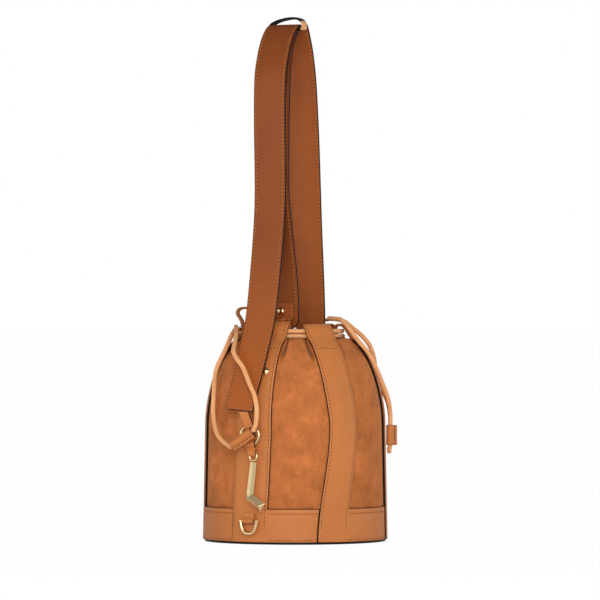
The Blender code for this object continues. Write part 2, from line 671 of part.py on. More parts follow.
def build_keeper(name, start, end, facing, spread, origin):
    """Leather sleeve around a drawcord, or around two of them side by side. Its ends meet in a flat sewn
    flag, across from a single cord, and facing outwards where there are two."""
    along = (end - start).normalized()
    across = along.cross(facing).normalized()
    facing = across.cross(along).normalized()
    inner = CORD_RADIUS + GAP
    flag = [(inner, -KEEPER_SLIT), (inner + KEEPER_FLAG, -KEEPER_SLIT),
            (inner + KEEPER_FLAG, KEEPER_SLIT), (inner, KEEPER_SLIT)]
    places = []
    for half, sign in ((0, 1.0), (1, -1.0)):
        for step in range(9):
            angle = math.radians(-90.0 + 180.0 * step / 8 + 180.0 * half)
            if spread == 0.0 and half == 0 and step == 4:
                places += flag
            else:
                places.append((inner * math.cos(angle) + sign * spread, inner * math.sin(angle)))
        if spread > 0.0 and half == 0:
            places += [(-rise, reach) for reach, rise in flag]
    outline = [across * place[0] + facing * place[1] for place in places]
    mesh_data = bmesh.new()
    rows = []
    for base in (start, end):
        rows.append([mesh_data.verts.new(base + offset) for offset in outline])
    count = len(outline)
    for index in range(count):
        following = (index + 1) % count
        mesh_data.faces.new((rows[0][index], rows[0][following], rows[1][following], rows[1][index]))
    bmesh.ops.remove_doubles(mesh_data, verts=mesh_data.verts, dist=0.00001)
    bmesh.ops.recalc_face_normals(mesh_data, faces=mesh_data.faces)
    obj = object_from_bmesh(name, mesh_data, leather(name), origin)
    solidify(obj, 0.0015, 1.0)


def build_eyelet(name, azimuth):
    direction = polar(azimuth, 1.0, 0.45).normalized()
    build_torus(name, polar(azimuth, 0.0610, 0.2290) + direction * 0.0024, direction, 0.0056, 0.0009,
                gold(name), 24, 8)


# ---------------------------------------------------------------- assembly
def build_body():
    build_disc("base_panel", BASE_RADIUS - 0.0012, 0.0, BASE_PANEL_THICKNESS,
               make_material("base_panel_leather", BLACK, 0.5))
    build_disc("base_board", BASE_RADIUS - PANEL_THICKNESS - 0.0018, BASE_PANEL_THICKNESS + GAP,
               BOARD_THICKNESS, make_material("base_board_fibre", (0.18, 0.15, 0.12), 0.8), 48)
    panels = [build_panel(index) for index in range(len(PANELS))]
    for index in range(len(PANELS)):
        build_gore(index)
    build_lining()
    return panels


def build_bag():
    panels = build_body()
    cut_eyelet_hole(panels[4], CORD_EXIT_LEFT)
    build_strap()
    build_anchor("anchor_tab_near", 0.0505, 0.2428, PIVOT_OUT_NEAR, 1.0)
    build_anchor("anchor_tab_far", -0.0520, 0.2418, PIVOT_OUT_FAR, -1.0)
    build_tail()
    build_hook()
    build_hook_tab()
    build_base_ring("near", 1.0)
    build_base_ring("far", -1.0)
    build_rim_cord("cord_left_rim", CORD_EXIT_LEFT, RIM_CORD_HEIGHTS[0])
    build_rim_cord("cord_right_rim", CORD_EXIT_RIGHT, RIM_CORD_HEIGHTS[1])
    build_left_cord()
    build_right_cord()
    build_eyelet("cord_eyelet_left", CORD_EXIT_LEFT)
    build_studs()


clear_scene()
BAG = make_collection("bucket_bag")
CUTTERS = make_collection("cutters")
build_bag()
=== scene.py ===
"""Looks of the drawstring bucket bag: leather panels with painted edges and stitching, suede gores, rolled
cords, gold hardware, lining and studio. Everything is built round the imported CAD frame, in metres, +Z up.

Places on the bag are given by azimuth (0 = front, growing towards +X), radius and height. Strap and tail use
the strap frame: OUT points from the bag's axis to the ring-side panel, SIDE runs across the strap."""
from math import atan, copysign, cos, degrees, exp, pi, radians, sin, sqrt

import bmesh
import bpy
from mathutils import Matrix, Vector, noise


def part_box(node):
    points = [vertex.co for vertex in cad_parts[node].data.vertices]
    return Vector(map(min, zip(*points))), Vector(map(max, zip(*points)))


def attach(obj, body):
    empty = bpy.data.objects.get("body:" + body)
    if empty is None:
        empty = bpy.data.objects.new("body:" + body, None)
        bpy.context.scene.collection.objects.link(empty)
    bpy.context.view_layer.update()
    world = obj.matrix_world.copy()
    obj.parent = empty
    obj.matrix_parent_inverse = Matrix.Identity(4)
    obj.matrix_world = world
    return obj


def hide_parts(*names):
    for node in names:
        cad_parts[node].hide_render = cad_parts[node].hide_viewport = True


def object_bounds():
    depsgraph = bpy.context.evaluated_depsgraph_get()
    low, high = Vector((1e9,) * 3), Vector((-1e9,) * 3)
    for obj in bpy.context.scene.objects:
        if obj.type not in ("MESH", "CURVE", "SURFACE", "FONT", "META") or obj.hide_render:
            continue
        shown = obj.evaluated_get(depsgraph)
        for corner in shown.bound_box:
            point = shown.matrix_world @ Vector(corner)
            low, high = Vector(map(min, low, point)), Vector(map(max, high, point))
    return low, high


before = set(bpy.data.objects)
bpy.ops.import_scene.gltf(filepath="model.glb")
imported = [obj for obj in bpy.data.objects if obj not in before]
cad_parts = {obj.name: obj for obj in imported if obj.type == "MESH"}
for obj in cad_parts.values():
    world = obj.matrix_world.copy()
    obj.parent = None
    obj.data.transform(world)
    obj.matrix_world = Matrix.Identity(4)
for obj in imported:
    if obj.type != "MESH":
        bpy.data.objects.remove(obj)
CAD_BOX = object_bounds()

# ---- sizes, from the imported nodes
BASE_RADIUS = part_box("base_panel")[1].x + 0.0012
RING_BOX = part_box("tail_ring")

WAIST_RADIUS = BASE_RADIUS - 0.0025
WAIST_HEIGHT = 0.130
RIM_RADIUS = 0.054
RIM_HEIGHT = 0.230
SHOULDER_POWER = 1.7
BAND_HEIGHT = 0.0385
GAP = 0.0004
PANEL_THICKNESS = 0.0024
PANEL_PROUD = 0.0010
NARROW_PANEL = 0.035
WIDE_PANEL = 0.044
SUEDE_INSET = 0.0040
SUEDE_LIFT = 0.0023
SUEDE_THICKNESS = 0.0012
SUEDE_SWELL = 0.0022
SUEDE_GATHER = 0.0007
SUEDE_TUCK = 0.0080
SUEDE_SOFTNESS = 0.0011
SUEDE_CREASE = 0.0005
LINING_INSET = SUEDE_INSET + 0.0060
LINING_THICKNESS = 0.0006
LINING_BOTTOM = 0.0060
LINING_TOP = 0.2215
SUEDE_BOTTOM = 0.0046
SUEDE_TOP = 0.2255
# the panels' edge paint fades out between these heights
BARE_EDGE_HEIGHTS = (0.2200, 0.2225)
STRAP_WIDTH = 0.040
STRAP_THICKNESS = 0.0026
RIBBON_THICKNESS = 0.0021
STRAP_CROWN = 0.0002
TAIL_END_WIDTH = 0.0345
TAIL_SLANT = 0.0016
ANCHOR_WIDTH = 0.030
ANCHOR_CORNER = 0.004
ANCHOR_THICKNESS = 0.0024
LOOP_THICKNESS = 0.0024
TAIL_TAB_THICKNESS = 0.0016
TAIL_TAB_WIDTH = 0.0120
HOOK_TAB_THICKNESS = 0.0014
HOOK_TAB_WIDTH = 0.0135
HOOK_TAB_END_WIDTH = 0.0060
RING_TAB_THICKNESS = 0.0013
RING_TAB_WIDTH = 0.0125
TAB_STITCH_INSET = 0.0018
TAB_ARRIS = 0.0003
# rows below the apex where the near leg lies flat against the tail
FLAT_ROWS = 26
STRAP_TIP = 0.0070
NEAR_CORNER = 0.0130
FAR_CORNER = 0.0060
ANCHOR_TOP = 0.2620
PIVOT_HEIGHT = 0.2525
PIVOT_OUT_NEAR = 0.0270
PIVOT_OUT_FAR = -0.0310
CORD_RADIUS = 0.0025
CORD_SEAM = 0.22
RIM_CORD_RADIUS = 0.0522
RIM_CORD_HEIGHTS = (0.2250, 0.2305)
CORD_EXIT_LEFT = -120.0
CORD_EXIT_RIGHT = 60.0
BASE_RING_HEIGHT = 0.0255
PANEL_STUD_AZIMUTH = -51.5
PANEL_STUD_HEIGHT = 0.187
BASE_RING_RADIUS = 0.0098
BASE_RING_WIRE = 0.0018
PIN_RADIUS = 0.0009
BASE_RING_SHIFT = 0.0022
KEEPER_FLAG = 0.0030
KEEPER_SLIT = 0.0002
KEEPER_THICKNESS = 0.0015
TAIL_RING_CENTRE = (0.1055, 0.0045, (RING_BOX[0].z + RING_BOX[1].z) / 2.0)
TAIL_RING_RADIUS = 0.0108
TAIL_RING_WIRE = 0.00175
EYE_RADIUS = 0.0045
EYE_WIRE = 0.0010
APEX_OUT = 0.0115
APEX_DEPTH = 0.0085
# the loop is tan, where its outer face catches the light, past this side place and below this height;
# elsewhere it is near black, partly black edge and partly painted shade of its underside
APEX_LIT_SIDE = 0.0180
APEX_LIT_HEIGHT = 0.5700
# (side, height) round the loop that holds the strap's runs together at the top
APEX_OUTLINE = ((-0.0120, 0.5595), (0.0000, 0.5592), (0.0120, 0.5595), (0.0205, 0.5605), (0.0215, 0.5640),
                (0.0205, 0.5690), (0.0160, 0.5730), (0.0090, 0.5745), (0.0010, 0.5742), (-0.0100, 0.5722),
                (-0.0185, 0.5690), (-0.0228, 0.5650), (-0.0235, 0.5605))
STITCH_PITCH = 0.0040
STITCH_INSET = 0.0030
SHARP_ANGLE = 40.0
ARRIS_ANGLE = 55.0

# panel name, azimuth, width, azimuth offsets at the base, the waist and the rim, kind of tunnel
PANELS = (
    ("panel_front", 0.0, NARROW_PANEL, (-6.0, 2.6, -2.4), "low"),
    ("panel_right", 60.0, NARROW_PANEL, (0.0, 0.0, 0.0), "low"),
    ("panel_far_side", 120.0, WIDE_PANEL, (0.0, 0.0, 0.0), "low"),
    ("panel_rear", 180.0, NARROW_PANEL, (0.0, 0.0, 0.0), "low"),
    ("panel_left", 240.0, NARROW_PANEL, (0.0, 0.0, 0.0), "tall"),
    ("panel_ring_side", 300.0, WIDE_PANEL, (-0.4, 2.0, 1.0), "strap"),
)

UP = Vector((0.0, 0.0, 1.0))
OUT = Vector((sin(radians(-60.0)), -cos(radians(-60.0)), 0.0))
SIDE = UP.cross(OUT)


# ---- node materials
def linear(*rgb):
    """Linear colour from 0-255 screen values."""
    shares = [c / 255.0 for c in rgb]
    return tuple(c / 12.92 if c < 0.0404 else ((c + 0.055) / 1.055) ** 2.4 for c in shares) + (1.0,)


class Tree:
    """Small helper that adds nodes to a material, or to the world, and links them."""

    def __init__(self, owner, shader="Principled BSDF", place="Object"):
        self.owner = owner
        owner.use_nodes = True
        self.nodes = owner.node_tree.nodes
        self.links = owner.node_tree.links
        self.shader = self.nodes[shader]
        self.place = self.nodes.new("ShaderNodeTexCoord").outputs[place]

    def set(self, **values):
        for key, value in values.items():
            self.shader.inputs[key.replace("_", " ")].default_value = value

    def link(self, source, name):
        self.links.new(source, self.shader.inputs[name])

    def stretched(self, scale, turn=(0.0, 0.0, 0.0)):
        node = self.nodes.new("ShaderNodeMapping")
        node.inputs["Scale"].default_value = scale
        node.inputs["Rotation"].default_value = turn
        self.links.new(self.place, node.inputs["Vector"])
        return node.outputs["Vector"]

    def noise(self, scale, detail=4.0, rough=0.55, place=None, distortion=0.0):
        node = self.nodes.new("ShaderNodeTexNoise")
        node.inputs["Scale"].default_value = scale
        node.inputs["Detail"].default_value = detail
        node.inputs["Roughness"].default_value = rough
        node.inputs["Distortion"].default_value = distortion
        self.links.new(place or self.place, node.inputs["Vector"])
        return node.outputs["Fac"]

    def cells(self, scale, feature="F1"):
        node = self.nodes.new("ShaderNodeTexVoronoi")
        node.feature = feature
        node.inputs["Scale"].default_value = scale
        self.links.new(self.place, node.inputs["Vector"])
        return node.outputs["Distance"]

    def height(self):
        node = self.nodes.new("ShaderNodeSeparateXYZ")
        self.links.new(self.place, node.inputs[0])
        return node.outputs["Z"]

    def span(self, value, low, high, to_low, to_high):
        node = self.nodes.new("ShaderNodeMapRange")
        for key, number in (("From Min", low), ("From Max", high), ("To Min", to_low), ("To Max", to_high)):
            node.inputs[key].default_value = number
        self.links.new(value, node.inputs["Value"])
        return node.outputs["Result"]

    def ramp(self, value, stops):
        node = self.nodes.new("ShaderNodeValToRGB")
        elements = node.color_ramp.elements
        while len(elements) < len(stops):
            elements.new(0.5)
        for element, (place, colour) in zip(elements, stops):
            element.position = place
            element.color = colour
        self.links.new(value, node.inputs["Fac"])
        return node.outputs["Color"]

    def mix(self, first, second, share, mode="MIX"):
        node = self.nodes.new("ShaderNodeMix")
        node.data_type = "RGBA"
        node.blend_type = mode
        for key, value in ((0, share), (6, first), (7, second)):
            if isinstance(value, (float, tuple)):
                node.inputs[key].default_value = value
            else:
                self.links.new(value, node.inputs[key])
        return node.outputs[2]

    def bump(self, height, strength, distance, below=None):
        node = self.nodes.new("ShaderNodeBump")
        node.inputs["Strength"].default_value = strength
        node.inputs["Distance"].default_value = distance
        self.links.new(height, node.inputs["Height"])
        if below is not None:
            self.links.new(below, node.inputs["Normal"])
        return node.outputs["Normal"]


def new_material(name):
    return Tree(bpy.data.materials.new(name))


def shade(colour, amount):
    return tuple(min(1.0, c * amount) for c in colour[:3]) + (1.0,)


def leather(name, colour, roughness=0.46, grain=1.0, upper=None):
    """Smooth calf leather: fine pebble and pores, slow colour drift, a soft uneven gloss. Given an amount and
    two heights, the leather darkens between them: painted shade, for light that falls off towards the top."""
    tree = new_material(name)
    drift = tree.noise(16.0, 5.0, 0.6)
    base = tree.ramp(drift, ((0.30, shade(colour, 0.90)), (0.52, colour), (0.74, shade(colour, 1.07))))
    # painted shade: darker from the low height upwards, for the light that falls off towards the top
    if upper:
        amount, low, high = upper
        base = tree.mix(base, (amount, amount * 0.93, amount * 0.86, 1.0),
                        tree.span(tree.height(), low, high, 0.0, 1.0), "MULTIPLY")
    pores = tree.cells(820.0)
    base = tree.mix(base, shade(colour, 0.62), tree.span(pores, 0.0, 0.22, 0.35, 0.0))
    tree.link(base, "Base Color")
    tree.link(tree.span(tree.noise(90.0, 4.0), 0.3, 0.7, roughness - 0.05, roughness + 0.08), "Roughness")
    tree.set(Specular_IOR_Level=0.26)
    fine = tree.bump(tree.noise(1500.0, 3.0, 0.7), 0.16 * grain, 0.00012)
    pebble = tree.bump(tree.cells(620.0, "SMOOTH_F1"), 0.22 * grain, 0.00016, fine)
    tree.link(tree.bump(tree.noise(42.0, 3.0), 0.10, 0.0008, pebble), "Normal")
    return tree.owner


def suede(name, colour):
    """Brushed suede: nap that lies in light and dark patches, with a fuzzy sheen."""
    tree = new_material(name)
    patches = tree.noise(36.0, 7.0, 0.74, None, 0.15)
    nap = tree.ramp(patches, ((0.30, shade(colour, 0.70)), (0.46, shade(colour, 0.95)),
                              (0.56, shade(colour, 1.08)), (0.70, shade(colour, 1.38))))
    strokes = tree.noise(1.0, 5.0, 0.6, tree.stretched((150.0, 150.0, 38.0), (0.3, 0.2, 0.5)), 0.4)
    brushed = tree.ramp(strokes, ((0.35, (0.72, 0.68, 0.64, 1.0)), (0.65, (1.0, 1.0, 1.0, 1.0))))
    nap = tree.mix(nap, brushed, 0.35, "MULTIPLY")
    fibres = tree.noise(1900.0, 3.0, 0.75)
    nap = tree.mix(nap, tree.ramp(fibres, ((0.3, (0.70, 0.66, 0.62, 1.0)), (0.7, (1.0, 1.0, 1.0, 1.0)))), 0.5,
                   "MULTIPLY")
    tree.link(nap, "Base Color")
    tree.set(Roughness=1.0, Specular_IOR_Level=0.08, Sheen_Weight=0.38, Sheen_Roughness=0.42,
             Sheen_Tint=linear(240, 176, 126))
    pile = tree.bump(fibres, 0.55, 0.0003)
    tree.link(tree.bump(strokes, 0.20, 0.0006, pile), "Normal")
    return tree.owner


def painted_edge(name, colour, bare=None):
    """Edge paint: near black, slightly uneven. Given a bare colour, the rim tunnel stays unpainted."""
    tree = new_material(name)
    if bare:
        colour = tree.mix(colour, bare, tree.span(tree.height(), *BARE_EDGE_HEIGHTS, 0.0, 1.0))
        tree.link(colour, "Base Color")
        tree.set(Roughness=0.6, Specular_IOR_Level=0.14)
        return tree.owner
    tree.link(tree.mix(colour, shade(colour, 1.8), tree.noise(260.0)), "Base Color")
    tree.link(tree.span(tree.noise(140.0), 0.3, 0.7, 0.42, 0.58), "Roughness")
    tree.set(Specular_IOR_Level=0.14)
    tree.link(tree.bump(tree.noise(700.0), 0.3, 0.0002), "Normal")
    return tree.owner


def gold(name):
    """Polished pale gold with faint brushing and fine wear."""
    tree = new_material(name)
    wear = tree.noise(220.0, 6.0, 0.7)
    tree.link(tree.ramp(wear, ((0.3, linear(232, 202, 146)), (0.7, linear(250, 226, 176)))), "Base Color")
    tree.set(Metallic=1.0)
    scratches = tree.noise(1.0, 4.0, 0.6, tree.stretched((2600.0, 2600.0, 180.0), (0.4, 0.7, 0.2)))
    tree.link(tree.span(scratches, 0.3, 0.7, 0.10, 0.22), "Roughness")
    tree.link(tree.bump(scratches, 0.05, 0.0001), "Normal")
    return tree.owner


def thread(name, colour):
    """Waxed thread with the twist of its plies."""
    tree = new_material(name)
    twist = tree.noise(2600.0, 2.0)
    tree.link(tree.ramp(twist, ((0.3, shade(colour, 0.72)), (0.7, shade(colour, 1.12)))), "Base Color")
    tree.set(Roughness=0.62)
    tree.link(tree.bump(twist, 0.5, 0.0002), "Normal")
    return tree.owner


def cloth(name, colour):
    """Plain woven lining: crossed waves at thread scale over a slow mottle."""
    tree = new_material(name)
    weave = []
    for turn in (0.0, pi / 2.0):
        node = tree.nodes.new("ShaderNodeTexWave")
        node.inputs["Scale"].default_value = 260.0
        tree.links.new(tree.stretched((1.0, 1.0, 1.0), (turn, 0.0, 0.7)), node.inputs["Vector"])
        weave.append(node.outputs["Fac"])
    crossed = tree.mix(weave[0], weave[1], 0.5)
    tree.link(tree.mix(shade(colour, 0.8), colour, tree.noise(40.0)), "Base Color")
    tree.set(Roughness=0.88, Sheen_Weight=0.2)
    tree.link(tree.bump(crossed, 0.5, 0.0003), "Normal")
    return tree.owner


TAN = linear(200, 122, 64)
DEEP_TAN = linear(166, 88, 36)
MATERIALS = {
    "leather": leather("tan_leather", TAN),
    # the strap leathers darken towards the top as painted shade; the near leg's copy is also darker all over,
    # painted shade where it lies behind the tail
    "strap": leather("strap_leather_top_shaded", DEEP_TAN, 0.48, 1.0, (0.68, 0.20, 0.34)),
    "strap_near": leather("strap_near_leather_shaded", shade(DEEP_TAN, 0.86), 0.52, 1.2, (0.60, 0.20, 0.34)),
    "strap_far": leather("strap_far_leather_top_shaded", DEEP_TAN, 0.50, 1.2, (0.76, 0.46, 0.56)),
    "cord": leather("cord_leather", linear(238, 172, 116), 0.38, 0.7),
    "black": leather("black_leather", linear(26, 22, 20), 0.42),
    # near black: partly black edge paint, partly painted shade of the apex loop's underside
    "loop": leather("loop_black_and_shade_leather", linear(22, 17, 17), 0.40, 0.8),
    "edge": painted_edge("edge_paint", linear(9, 5, 4)),
    "panel_edge": painted_edge("panel_edge_paint", linear(9, 5, 4), linear(150, 88, 46)),
    "suede": suede("suede", linear(201, 120, 67)),
    "gold": gold("gold_metal"),
    "thread": thread("thread", linear(196, 124, 70)),
    # dark brown discs at the stitch ends: painted shade of the needle holes
    "hole": painted_edge("stitch_hole_shade", linear(58, 28, 12)),
    "lining": cloth("lining_cloth", linear(120, 96, 74)),
    "board": cloth("board_fibre", linear(96, 84, 70)),
}


# ---- shape helpers
def polar(azimuth, radius, height):
    angle = radians(azimuth)
    return Vector((radius * sin(angle), -radius * cos(angle), height))


def strap_point(out, side, height):
    return OUT * out + SIDE * side + UP * height


def smoothstep(low, high, value):
    share = min(1.0, max(0.0, (value - low) / (high - low)))
    return share * share * (3.0 - 2.0 * share)


def outer_radius(height):
    if height <= WAIST_HEIGHT:
        return BASE_RADIUS + (WAIST_RADIUS - BASE_RADIUS) * height / WAIST_HEIGHT
    rise = min(1.0, (height - WAIST_HEIGHT) / (RIM_HEIGHT - WAIST_HEIGHT))
    return RIM_RADIUS + (WAIST_RADIUS - RIM_RADIUS) * (1.0 - rise ** SHOULDER_POWER) ** (1.0 / SHOULDER_POWER)


def inner_profile(height, inset):
    """(radius, height) of a layer that lies the given distance inside the leather's outer face."""
    step = 0.0005
    slope = outer_radius(height + step) - outer_radius(height - step)
    normal = Vector((2.0 * step, -slope)).normalized()
    return outer_radius(height) - inset * normal.x, height - inset * normal.y


def panel_azimuth(panel, height):
    base, waist, rim = panel[3]
    if height <= WAIST_HEIGHT:
        return panel[1] + base + (waist - base) * smoothstep(0.0, WAIST_HEIGHT, height)
    share = min(1.0, (height - WAIST_HEIGHT) / (RIM_HEIGHT - WAIST_HEIGHT))
    return panel[1] + waist + (rim - waist) * share


def smooth_path(points, per_span):
    """Catmull-Rom curve through the points."""
    padded = [points[0] * 2.0 - points[1]] + list(points) + [points[-1] * 2.0 - points[-2]]
    result = []
    for before, start, end, after in zip(padded, padded[1:], padded[2:], padded[3:]):
        for step in range(per_span):
            t = step / per_span
            result.append(0.5 * (start * 2.0 + (end - before) * t
                                 + (before * 2.0 - start * 5.0 + end * 4.0 - after) * t * t
                                 + (start * 3.0 - before - end * 3.0 + after) * t ** 3))
    result.append(points[-1])
    return result


def closed_path(points, per_span):
    """Catmull-Rom curve through the points and back to the first."""
    looped = smooth_path([points[-1]] + list(points) + list(points[:2]), per_span)
    return looped[per_span:-1 - per_span]


def new_object(name, data):
    obj = bpy.data.objects.new(name, data)
    bpy.context.scene.collection.objects.link(obj)
    return obj


def add_piece(name, bm, materials, body, slot, *nodes):
    """Turn a bmesh in world coordinates into a piece that rides on a CAD body and replaces CAD nodes."""
    mesh = bpy.data.meshes.new(name)
    bm.to_mesh(mesh)
    bm.free()
    for key in materials:
        mesh.materials.append(MATERIALS[key])
    mesh.shade_smooth()
    mesh.set_sharp_from_angle(angle=radians(SHARP_ANGLE))
    obj = new_object(name, mesh)
    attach(obj, body)
    if nodes:
        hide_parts(*nodes)
    return obj


def thicken(obj, thickness, offset=-1.0, rim=1, bevel=0.0006, even=True):
    """Give a sheet its thickness, with a painted rim and rounded painted arrises."""
    modifier = obj.modifiers.new("thickness", "SOLIDIFY")
    modifier.thickness = thickness
    modifier.offset = offset
    modifier.use_even_offset = even
    modifier.material_offset_rim = rim
    if bevel:
        modifier = obj.modifiers.new("arris", "BEVEL")
        modifier.width = bevel
        modifier.segments = 2
        modifier.limit_method = "ANGLE"
        modifier.angle_limit = radians(ARRIS_ANGLE)
        modifier.material = rim


def grid_faces(bm, rows):
    for lower, upper in zip(rows, rows[1:]):
        for left in range(min(len(lower), len(upper)) - 1):
            bm.faces.new((lower[left], lower[left + 1], upper[left + 1], upper[left]))


def bridge(bm, first, second):
    """Faces between two closed rings of equal count."""
    count = len(first)
    return [bm.faces.new((first[i], first[(i + 1) % count], second[(i + 1) % count], second[i]))
            for i in range(count)]


def resample(points, pitch):
    """(place, direction, segment index) every pitch along a polyline."""
    result = []
    wanted = pitch / 2.0
    travelled = 0.0
    for index, (start, end) in enumerate(zip(points, points[1:])):
        length = (end - start).length
        while length > 0.0 and wanted <= travelled + length:
            share = (wanted - travelled) / length
            result.append((start.lerp(end, share), (end - start).normalized(), index))
            wanted += pitch
        travelled += length
    return result


def add_stitch(bm, place, along, normal, length=0.0027, radius=0.00042):
    """One stitch: a slim capsule half sunk in the leather, with a flat dark disc at each end as painted shade
    of its needle hole.
    """
    across = along.cross(normal).normalized()
    rings = []
    for share, size in ((-1.0, 0.35), (-0.72, 0.95), (0.0, 1.10), (0.72, 0.95), (1.0, 0.35)):
        centre = place + along * share * length / 2.0 + normal * radius * (0.55 - 0.5 * share * share)
        ring = []
        for corner in range(6):
            angle = pi * corner / 3.0
            spoke = across * cos(angle) + normal * sin(angle)
            ring.append(bm.verts.new(centre + spoke * radius * size))
        rings.append(ring)
    for first, second in zip(rings, rings[1:]):
        bridge(bm, first, second)
    bm.faces.new(list(reversed(rings[0])))
    bm.faces.new(rings[-1])
    # flat dark discs at the ends: painted shade of the needle holes
    for end in (-1.0, 1.0):
        centre = place + along * end * STITCH_PITCH * 0.46 + normal * 0.00007
        ring = []
        for corner in range(6):
            angle = pi * corner / 3.0
            spoke = across * cos(angle) + along * sin(angle)
            ring.append(bm.verts.new(centre + spoke * radius * 1.25))
        face = bm.faces.new(ring)
        face.material_index = 1
        face.normal_update()
        if face.normal.dot(normal) < 0.0:
            face.normal_flip()


def stitch_rows(name, runs, body):
    """Stitches along runs of (points, neighbour points), where the neighbours lie across the leather."""
    bm = bmesh.new()
    for points, beside, side in runs:
        for place, along, index in resample(points, STITCH_PITCH):
            normal = along.cross(beside[index] - points[index]).normalized() * side
            add_stitch(bm, place, along, normal)
    bmesh.ops.recalc_face_normals(bm, faces=[face for face in bm.faces if face.material_index == 0])
    # the hole slot carries the painted shade of the needle holes
    add_piece(name, bm, ("thread", "hole"), body, "tan_leather")


# ---- leather panels
# (radius, height) of a panel's fold over the drawcords, down to the flap that is sewn inside
TUNNELS = {
    "low": ((0.0660, 0.2215), (0.0620, 0.2270), (0.0588, 0.2325), (0.0550, 0.2368), (0.0500, 0.2385),
            (0.0452, 0.2365), (0.0432, 0.2315), (0.0436, 0.2255), (0.0465, 0.2205), (0.0500, 0.2165),
            (0.0545, 0.2120)),
    "strap": ((0.0660, 0.2215), (0.0622, 0.2270), (0.0594, 0.2328), (0.0564, 0.2380), (0.0522, 0.2412),
              (0.0476, 0.2414), (0.0444, 0.2384), (0.0434, 0.2320), (0.0436, 0.2255), (0.0465, 0.2205),
              (0.0500, 0.2165), (0.0545, 0.2120)),
    "tall": ((0.0655, 0.2220), (0.0610, 0.2270), (0.0595, 0.2340), (0.0615, 0.2420), (0.0655, 0.2490),
             (0.0640, 0.2545), (0.0580, 0.2570), (0.0500, 0.2555), (0.0450, 0.2500), (0.0440, 0.2420),
             (0.0434, 0.2320), (0.0434, 0.2255), (0.0465, 0.2205), (0.0500, 0.2165), (0.0545, 0.2120)),
}
# rows of the fold that carry edge stitches
TUNNEL_STITCH_ROWS = {"low": 16, "strap": 16, "tall": 22}


def panel_path(kind):
    """(radius, height, share of the panel's proudness) from the base up and over the drawcord tunnel."""
    lower = []
    heights = [0.0020, 0.0046, 0.0075] + [0.0120 + 0.00265 * step for step in range(11)]
    heights += [BAND_HEIGHT + (0.2160 - BAND_HEIGHT) * step / 44.0 for step in range(1, 45)]
    for height in heights:
        lower.append((outer_radius(height), height, min(1.0, (0.2200 - height) / 0.03)))
    upper = smooth_path([Vector((r, 0.0, z)) for r, z in TUNNELS[kind]], 4)
    return lower + [(point.x, point.z, 0.0) for point in upper]


PANEL_PATHS = {kind: panel_path(kind) for kind in TUNNELS}


def panel_place(panel, step, across, lift=0.0):
    """A point on a panel's outer face, by row of its path and distance from its centre line."""
    radius, height, proud = PANEL_PATHS[panel[4]][step]
    half = panel[2] / 2.0
    crown = 0.0005 * (1.0 - (across / half) ** 2) * proud
    azimuth = panel_azimuth(panel, height) + degrees(across / max(radius, RIM_RADIUS))
    return polar(azimuth, radius + PANEL_PROUD * proud + crown - 0.0004 * proud + lift, height)


def band_place(index, step, share, lift=0.0):
    """A point on a panel's share of the base band, from its strap to the next panel."""
    panel, following = PANELS[index], PANELS[(index + 1) % 6]
    turn = 360.0 if following[1] < panel[1] else 0.0
    radius, height, proud = PANEL_PATHS[panel[4]][step]
    start = panel_azimuth(panel, height) + degrees(panel[2] / 2.0 / radius)
    end = panel_azimuth(following, height) + turn - degrees((following[2] / 2.0 + GAP) / radius)
    level = radius + (PANEL_PROUD - 0.0004) * proud * (1.0 - share) - PANEL_PROUD * 0.5 * share
    return polar(start + (end - start) * share, level + lift, height)


def band_rows():
    return [step for step, place in enumerate(PANEL_PATHS["low"]) if place[1] <= BAND_HEIGHT + 1e-6]


def build_panel(index):
    panel = PANELS[index]
    half = panel[2] / 2.0
    columns = [-half + panel[2] * step / 16.0 for step in range(17)]
    shares = [step / 22.0 for step in range(1, 23)]
    low_rows = set(band_rows())
    bm = bmesh.new()
    rows = []
    for step in range(len(PANEL_PATHS[panel[4]])):
        row = [bm.verts.new(panel_place(panel, step, across)) for across in columns]
        if step in low_rows:
            row += [bm.verts.new(band_place(index, step, share)) for share in shares]
        rows.append(row)
    grid_faces(bm, rows)
    obj = add_piece(panel[0] + "_leather", bm, ("leather", "panel_edge"), "bag", "tan_leather", panel[0])
    thicken(obj, PANEL_THICKNESS)


def stitch_panel(index):
    """Edge stitching on both sides of a panel, along its tunnel, and along its share of the band."""
    panel = PANELS[index]
    path = PANEL_PATHS[panel[4]]
    last = max(step for step in range(len(path)) if path[step][2] > 0.0)
    over = last + TUNNEL_STITCH_ROWS[panel[4]]
    runs = []
    for sign in (-1.0, 1.0):
        across = sign * (panel[2] / 2.0 - STITCH_INSET)
        steps = range(5, over)
        points = [panel_place(panel, step, across) for step in steps]
        beside = [panel_place(panel, step, across + 0.001) for step in steps]
        runs.append((points, beside, -1.0))
    row = last - 1
    offsets = [-(panel[2] / 2.0 - 0.005) + (panel[2] - 0.010) * step / 12.0 for step in range(13)]
    runs.append(([panel_place(panel, row, across) for across in offsets],
                 [panel_place(panel, row + 1, across) for across in offsets], 1.0))
    rows = band_rows()
    shares = [0.02 + 0.96 * step / 30.0 for step in range(31)]
    for step in (rows[-3], 1):
        points = [band_place(index, step, share) for share in shares]
        beside = [band_place(index, step + 1, share) for share in shares]
        runs.append((points, beside, 1.0))
    stitch_rows(panel[0] + "_stitching", runs, "bag")


